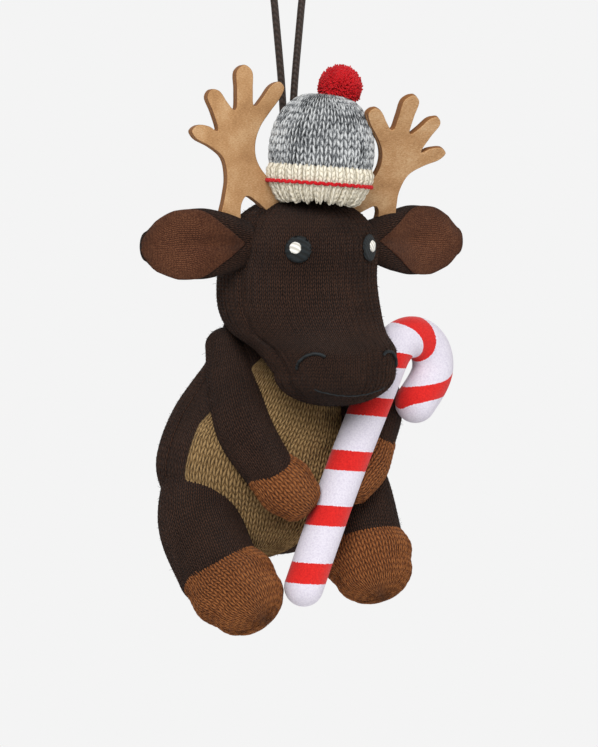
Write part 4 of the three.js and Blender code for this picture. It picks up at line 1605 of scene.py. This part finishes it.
    def pompom(self) -> None:
        """Some thousands of strands of yarn from a tied middle, trimmed to a ball."""
        s = SIZES
        dice = np.random.default_rng(seed=5)
        count = self.yarn_ends
        heading = unit(dice.normal(0, 1, (count, 3)))
        reach = s.pompom_diameter / 2 * (0.93 + 0.05 * dice.standard_normal((count, 1)).clip(-1.6, 1.2))
        sway = dice.normal(0, 0.2, (count, 3))
        root = heading * 1.0
        middle = heading * reach * 0.6 + sway * 0.6
        tip = heading * reach + sway
        rise = s.hat_band_height + s.seam_gap + s.hat_crown_height + s.pompom_diameter * self.pompom_rise
        centre = np.array([self.pompom_out, -0.8, rise - 0.3])
        paths = self.placed(np.stack([root, middle, tip], axis=1) + centre)
        piece = strands("pompom_strands", paths, (0.2, 0.2, 0.17), POMPOM_YARN.build(), 4)
        dress(piece, "head", ["pompom"])


@dataclass
class Torso:
    """The torso's skin and the knitted panel on its front."""

    seams: tuple[float, ...] = (math.radians(8), math.radians(172))
    panel_span: tuple[float, float] = (0.22, 0.97)
    panel_turn: float = 0.8
    squareness: float = 2.6

    @staticmethod
    def panel_middle(at: np.ndarray) -> np.ndarray:
        """The turn of the panel's middle, which drifts to the moose's right from its top."""
        return np.radians(92 + 15 * np.clip(at / 0.4, 0, 1))

    def panel_half(self, at: np.ndarray) -> np.ndarray:
        """Half the panel's width as a turn: an oval with square shoulders, never quite closed."""
        return self.panel_turn * (1 - np.abs(2 * at - 1) ** self.squareness) ** (1 / self.squareness) + 1e-3

    def build(self, dark: bpy.types.Material) -> None:
        """Builds the skin, its fibres and the panel.

        Args:
            dark: The dark knit's material.
        """
        form = torso_form()
        shaped = crease(self.seams, depth=0.7, width=1.1)
        knitted(
            "torso_skin", form, DARK_KNIT, dark, "torso", ["torso"],
            spacing=0.36, sculpt=shaped, raised=0.2,
        )
        fibres = fuzz("torso_fuzz", form, dark, count=4500, length=0.7, seed=12)
        dress(fibres, "torso")
        panel = patch(
            "belly_panel_knit",
            form,
            BELLY_KNIT,
            self.panel_span,
            self.panel_middle,
            self.panel_half,
            proud=0.9,
            shaped=shaped,
            spacing=0.25,
            raised=0.45,
        )
        dress(panel, "torso", ["belly_panel"])


@dataclass
class Limb:
    """A dark stuffed limb that ends in a rust-brown mitt or foot."""

    side: Side
    kind: str
    end_kind: str
    start: np.ndarray
    length: float
    width: float
    end_length: float
    end_width: float
    route: Sequence[tuple[float, float, float]]
    end_route: Sequence[tuple[float, float, float]]
    girths: Sequence[float]
    end_girths: Sequence[float]
    end_flat: float

    def sections(
        self,
        start: np.ndarray,
        route: Sequence[tuple[float, float, float]],
        length: float,
        width: float,
        girths: Sequence[float],
        flat: float,
    ) -> SoftForm:
        """A form along a route.

        Args:
            start: Where the route begins, in millimetres.
            route: Places out, forward and down, in shares of the length.
            length: The length that the shares are of.
            width: The full width.
            girths: Each place's share of the width.
            flat: The depth as a share of the width.

        Returns:
            The form.
        """
        steps = [np.array([self.side.value * out, -forward, -down]) for out, forward, down in route]
        halves = [(girth * width / 2, girth * width * flat / 2) for girth in girths]
        return SoftForm([start + step * length for step in steps], halves)

    @staticmethod
    def toe_seam(points: np.ndarray, turn: np.ndarray, along: np.ndarray) -> np.ndarray:
        """Draws the knit in along a seam round the toe.

        Args:
            points: The grid's points in millimetres.
            turn: Not used; each point's turn round the form.
            along: Each point's place along the form, from 0 to 1.

        Returns:
            The moved points.
        """
        inward = unit(points.mean(axis=1, keepdims=True) - points)
        place, width, depth = 0.8, 0.012, 0.36
        seam = np.exp(-(((along - place) / width) ** 2)) * depth
        return points + inward * seam[..., None]

    def build(self, dark: bpy.types.Material, rust: bpy.types.Material) -> None:
        """Builds the limb and what it ends in.

        Args:
            dark: The limb's material.
            rust: The mitt's or foot's material.
        """
        tag = self.side.tag
        body = self.kind + "_" + tag
        upper = self.sections(self.start, self.route, self.length, self.width, self.girths, 1.0)
        name = self.kind + "_skin_" + tag
        knitted(name, upper, DARK_KNIT, dark, body, [body], spacing=0.36, raised=0.2)
        name = self.kind + "_fuzz_" + tag
        dress(fuzz(name, upper, dark, count=1700, length=0.65, seed=20 + self.side.value), body)
        wrist = np.array(upper.places[-1])
        lower = self.sections(
            wrist, self.end_route, self.end_length, self.end_width, self.end_girths, self.end_flat
        )
        name, node = self.end_kind + "_knit_" + tag, self.end_kind + "_" + tag
        knitted(
            name, lower, HOOF_KNIT, rust, body, [node],
            spacing=0.3, raised=0.4, grow=0.1, sculpt=self.toe_seam if self.kind == "leg" else None,
        )


def limbs() -> list[Limb]:
    """The two arms and two legs, from the sizes."""
    s = SIZES
    _, y, z = s.neck
    arm_routes = {
        Side.RIGHT: [(0, 0.04, 0), (0.04, 0.26, 0.3), (0.05, 0.47, 0.6), (-0.06, 0.69, 0.91)],
        Side.LEFT: [(0, 0.02, 0), (0.16, 0.12, 0.24), (0.18, 0.26, 0.49), (0.08, 0.4, 0.72)],
    }
    mitt_routes = {
        Side.RIGHT: [(0, 0, 0), (-0.22, 0.08, 0.22), (-0.42, 0.14, 0.42)],
        Side.LEFT: [(0, 0, 0), (-0.28, 0.2, 0.32), (-0.6, 0.44, 0.62)],
    }
    leg_routes = {
        Side.RIGHT: [(0, 0, 0), (0.13, 0.24, 0.42), (0.1, 0.57, 0.82)],
        Side.LEFT: [(0, 0, 0), (0.07, 0.2, 0.38), (0.07, 0.46, 0.77)],
    }
    foot_routes = {
        Side.RIGHT: [(0, 0, 0), (-0.12, 0.18, 0.18), (-0.22, 0.36, 0.34)],
        Side.LEFT: [(0, 0, 0), (0.02, 0.14, 0.21), (0.04, 0.26, 0.39)],
    }
    hip_drops = {Side.RIGHT: 0.65, Side.LEFT: 0.58}
    made = []
    for side in Side:
        shoulder = np.array([side.value * s.torso_width * 0.3, y - s.seam_gap, z - s.torso_length * 0.13])
        made.append(Limb(
            side, "arm", "mitt", shoulder, s.arm_length, s.arm_width, s.mitt_length, s.mitt_width,
            arm_routes[side], mitt_routes[side], (0.76, 0.94, 1, 0.9), (0.86, 1, 0.82), 0.78,
        ))
        hip = np.array([
            side.value * s.torso_width * 0.34 - s.hip_lean / 2,
            y + s.seam_gap,
            z - s.torso_length * hip_drops[side],
        ])
        made.append(Limb(
            side, "leg", "foot", hip, s.leg_length, s.leg_width, s.foot_length, s.foot_width,
            leg_routes[side], foot_routes[side], (0.92, 1, 0.97), (0.88, 1, 0.86), 0.92,
        ))
    return made


@dataclass
class CandyCane:
    """A stuffed plush tube with printed bands, hooked over at its top."""

    bands: Sequence[float] = (11.5, 26.8, 41.5, 56.5, 69.5, 79.8, 97.8)
    band_slants: Sequence[float] = (19.5, 20, 21, 21, 24, 29, 51)
    period: float = 15.3
    bow_share: float = 0.012
    root_out_share: float = -0.12
    root_forward: float = 23
    root_down: float = 97.8
    shaft_places: int = 7
    hook_places: int = 7
    columns: int = 72
    spacing: float = 0.45

    def form(self) -> SoftForm:
        """The cane's spine and girth."""
        s = SIZES
        heading = np.array([math.sin(s.cane_lean), 0, math.cos(s.cane_lean)])
        rightward = np.array([math.cos(s.cane_lean), 0, -math.sin(s.cane_lean)])
        route = []
        for at in np.linspace(0, 1, self.shaft_places):
            bow = -math.sin(math.pi * at) * self.bow_share * s.cane_shaft
            route.append(heading * at * s.cane_shaft + rightward * bow)
        centre = heading * s.cane_shaft + rightward * s.hook_radius
        for step in range(1, self.hook_places + 1):
            turn = s.cane_lean + s.hook_turn * step / self.hook_places
            route.append(centre + s.hook_radius * np.array([-math.cos(turn), 0, math.sin(turn)]))
        last = s.cane_lean + s.hook_turn
        route.append(route[-1] + s.hook_end * np.array([math.sin(last), 0, math.cos(last)]))
        yaw = np.array([
            [math.cos(s.cane_yaw), -math.sin(s.cane_yaw), 0],
            [math.sin(s.cane_yaw), math.cos(s.cane_yaw), 0],
            [0, 0, 1],
        ])
        root = np.array([s.torso_width * self.root_out_share, -self.root_forward, s.crown - self.root_down])
        places = [yaw @ point + root for point in route]
        swells = [1.0] * self.shaft_places + [s.hook_swell] * (len(places) - self.shaft_places)
        halves = [(s.cane_diameter / 2 * swell, s.cane_diameter / 2 * swell) for swell in swells]
        across = (-math.sin(s.cane_yaw), math.cos(s.cane_yaw), 0)
        return SoftForm(places, halves, across=across, blunt=1.0)

    def build(self) -> None:
        """Builds the tube with its bands."""
        form = self.form()
        rings = round(form.total / self.spacing)
        around = np.linspace(0, FULL_TURN, self.columns + 1)
        turn, along = np.meshgrid(around[:-1], np.linspace(POLE_GAP, 1 - POLE_GAP, rings))
        points = form.surface(turn, along)
        run = along[:, :1] * form.total
        tilt = np.tan(np.radians(np.interp(run, self.bands, self.band_slants)))
        slant = np.sin(around)[None, :] * SIZES.cane_diameter / 2 * tilt
        # The count passes each red band's middle at its own place, whatever the distance to the next
        known = np.array([self.bands[0] - self.period, *self.bands, self.bands[-1] + self.period])
        bands = np.interp(run + slant, known, np.arange(len(known)) + CANE_PLUSH.red_share / 2)
        # Past the last band the tip stays white
        bands = np.minimum(bands, len(self.bands) + (1 + CANE_PLUSH.red_share) / 2)
        stitches = np.stack(np.broadcast_arrays(around[None, :], bands), axis=-1)
        cane = grid_piece("cane_plush", points, stitches, CANE_PLUSH.build())
        dress(cane, "arm_left", ["candy_cane"])


def main() -> None:
    """Builds the ornament, from its stage and cord to its cane."""
    logging.basicConfig(level=logging.INFO, format="%(name)s: %(message)s")
    Stage().build()
    HangingCord().build()
    dark = DARK_KNIT.build()
    rust = HOOF_KNIT.build()
    felt = ANTLER_FELT.build()
    Head().build()
    for side in Side:
        Ear(side).build(dark)
        Antler(side).build(felt)
    Hat().build()
    Torso().build(dark)
    for limb in limbs():
        limb.build(dark, rust)
    CandyCane().build()


if __name__ == "__main__":
    main()
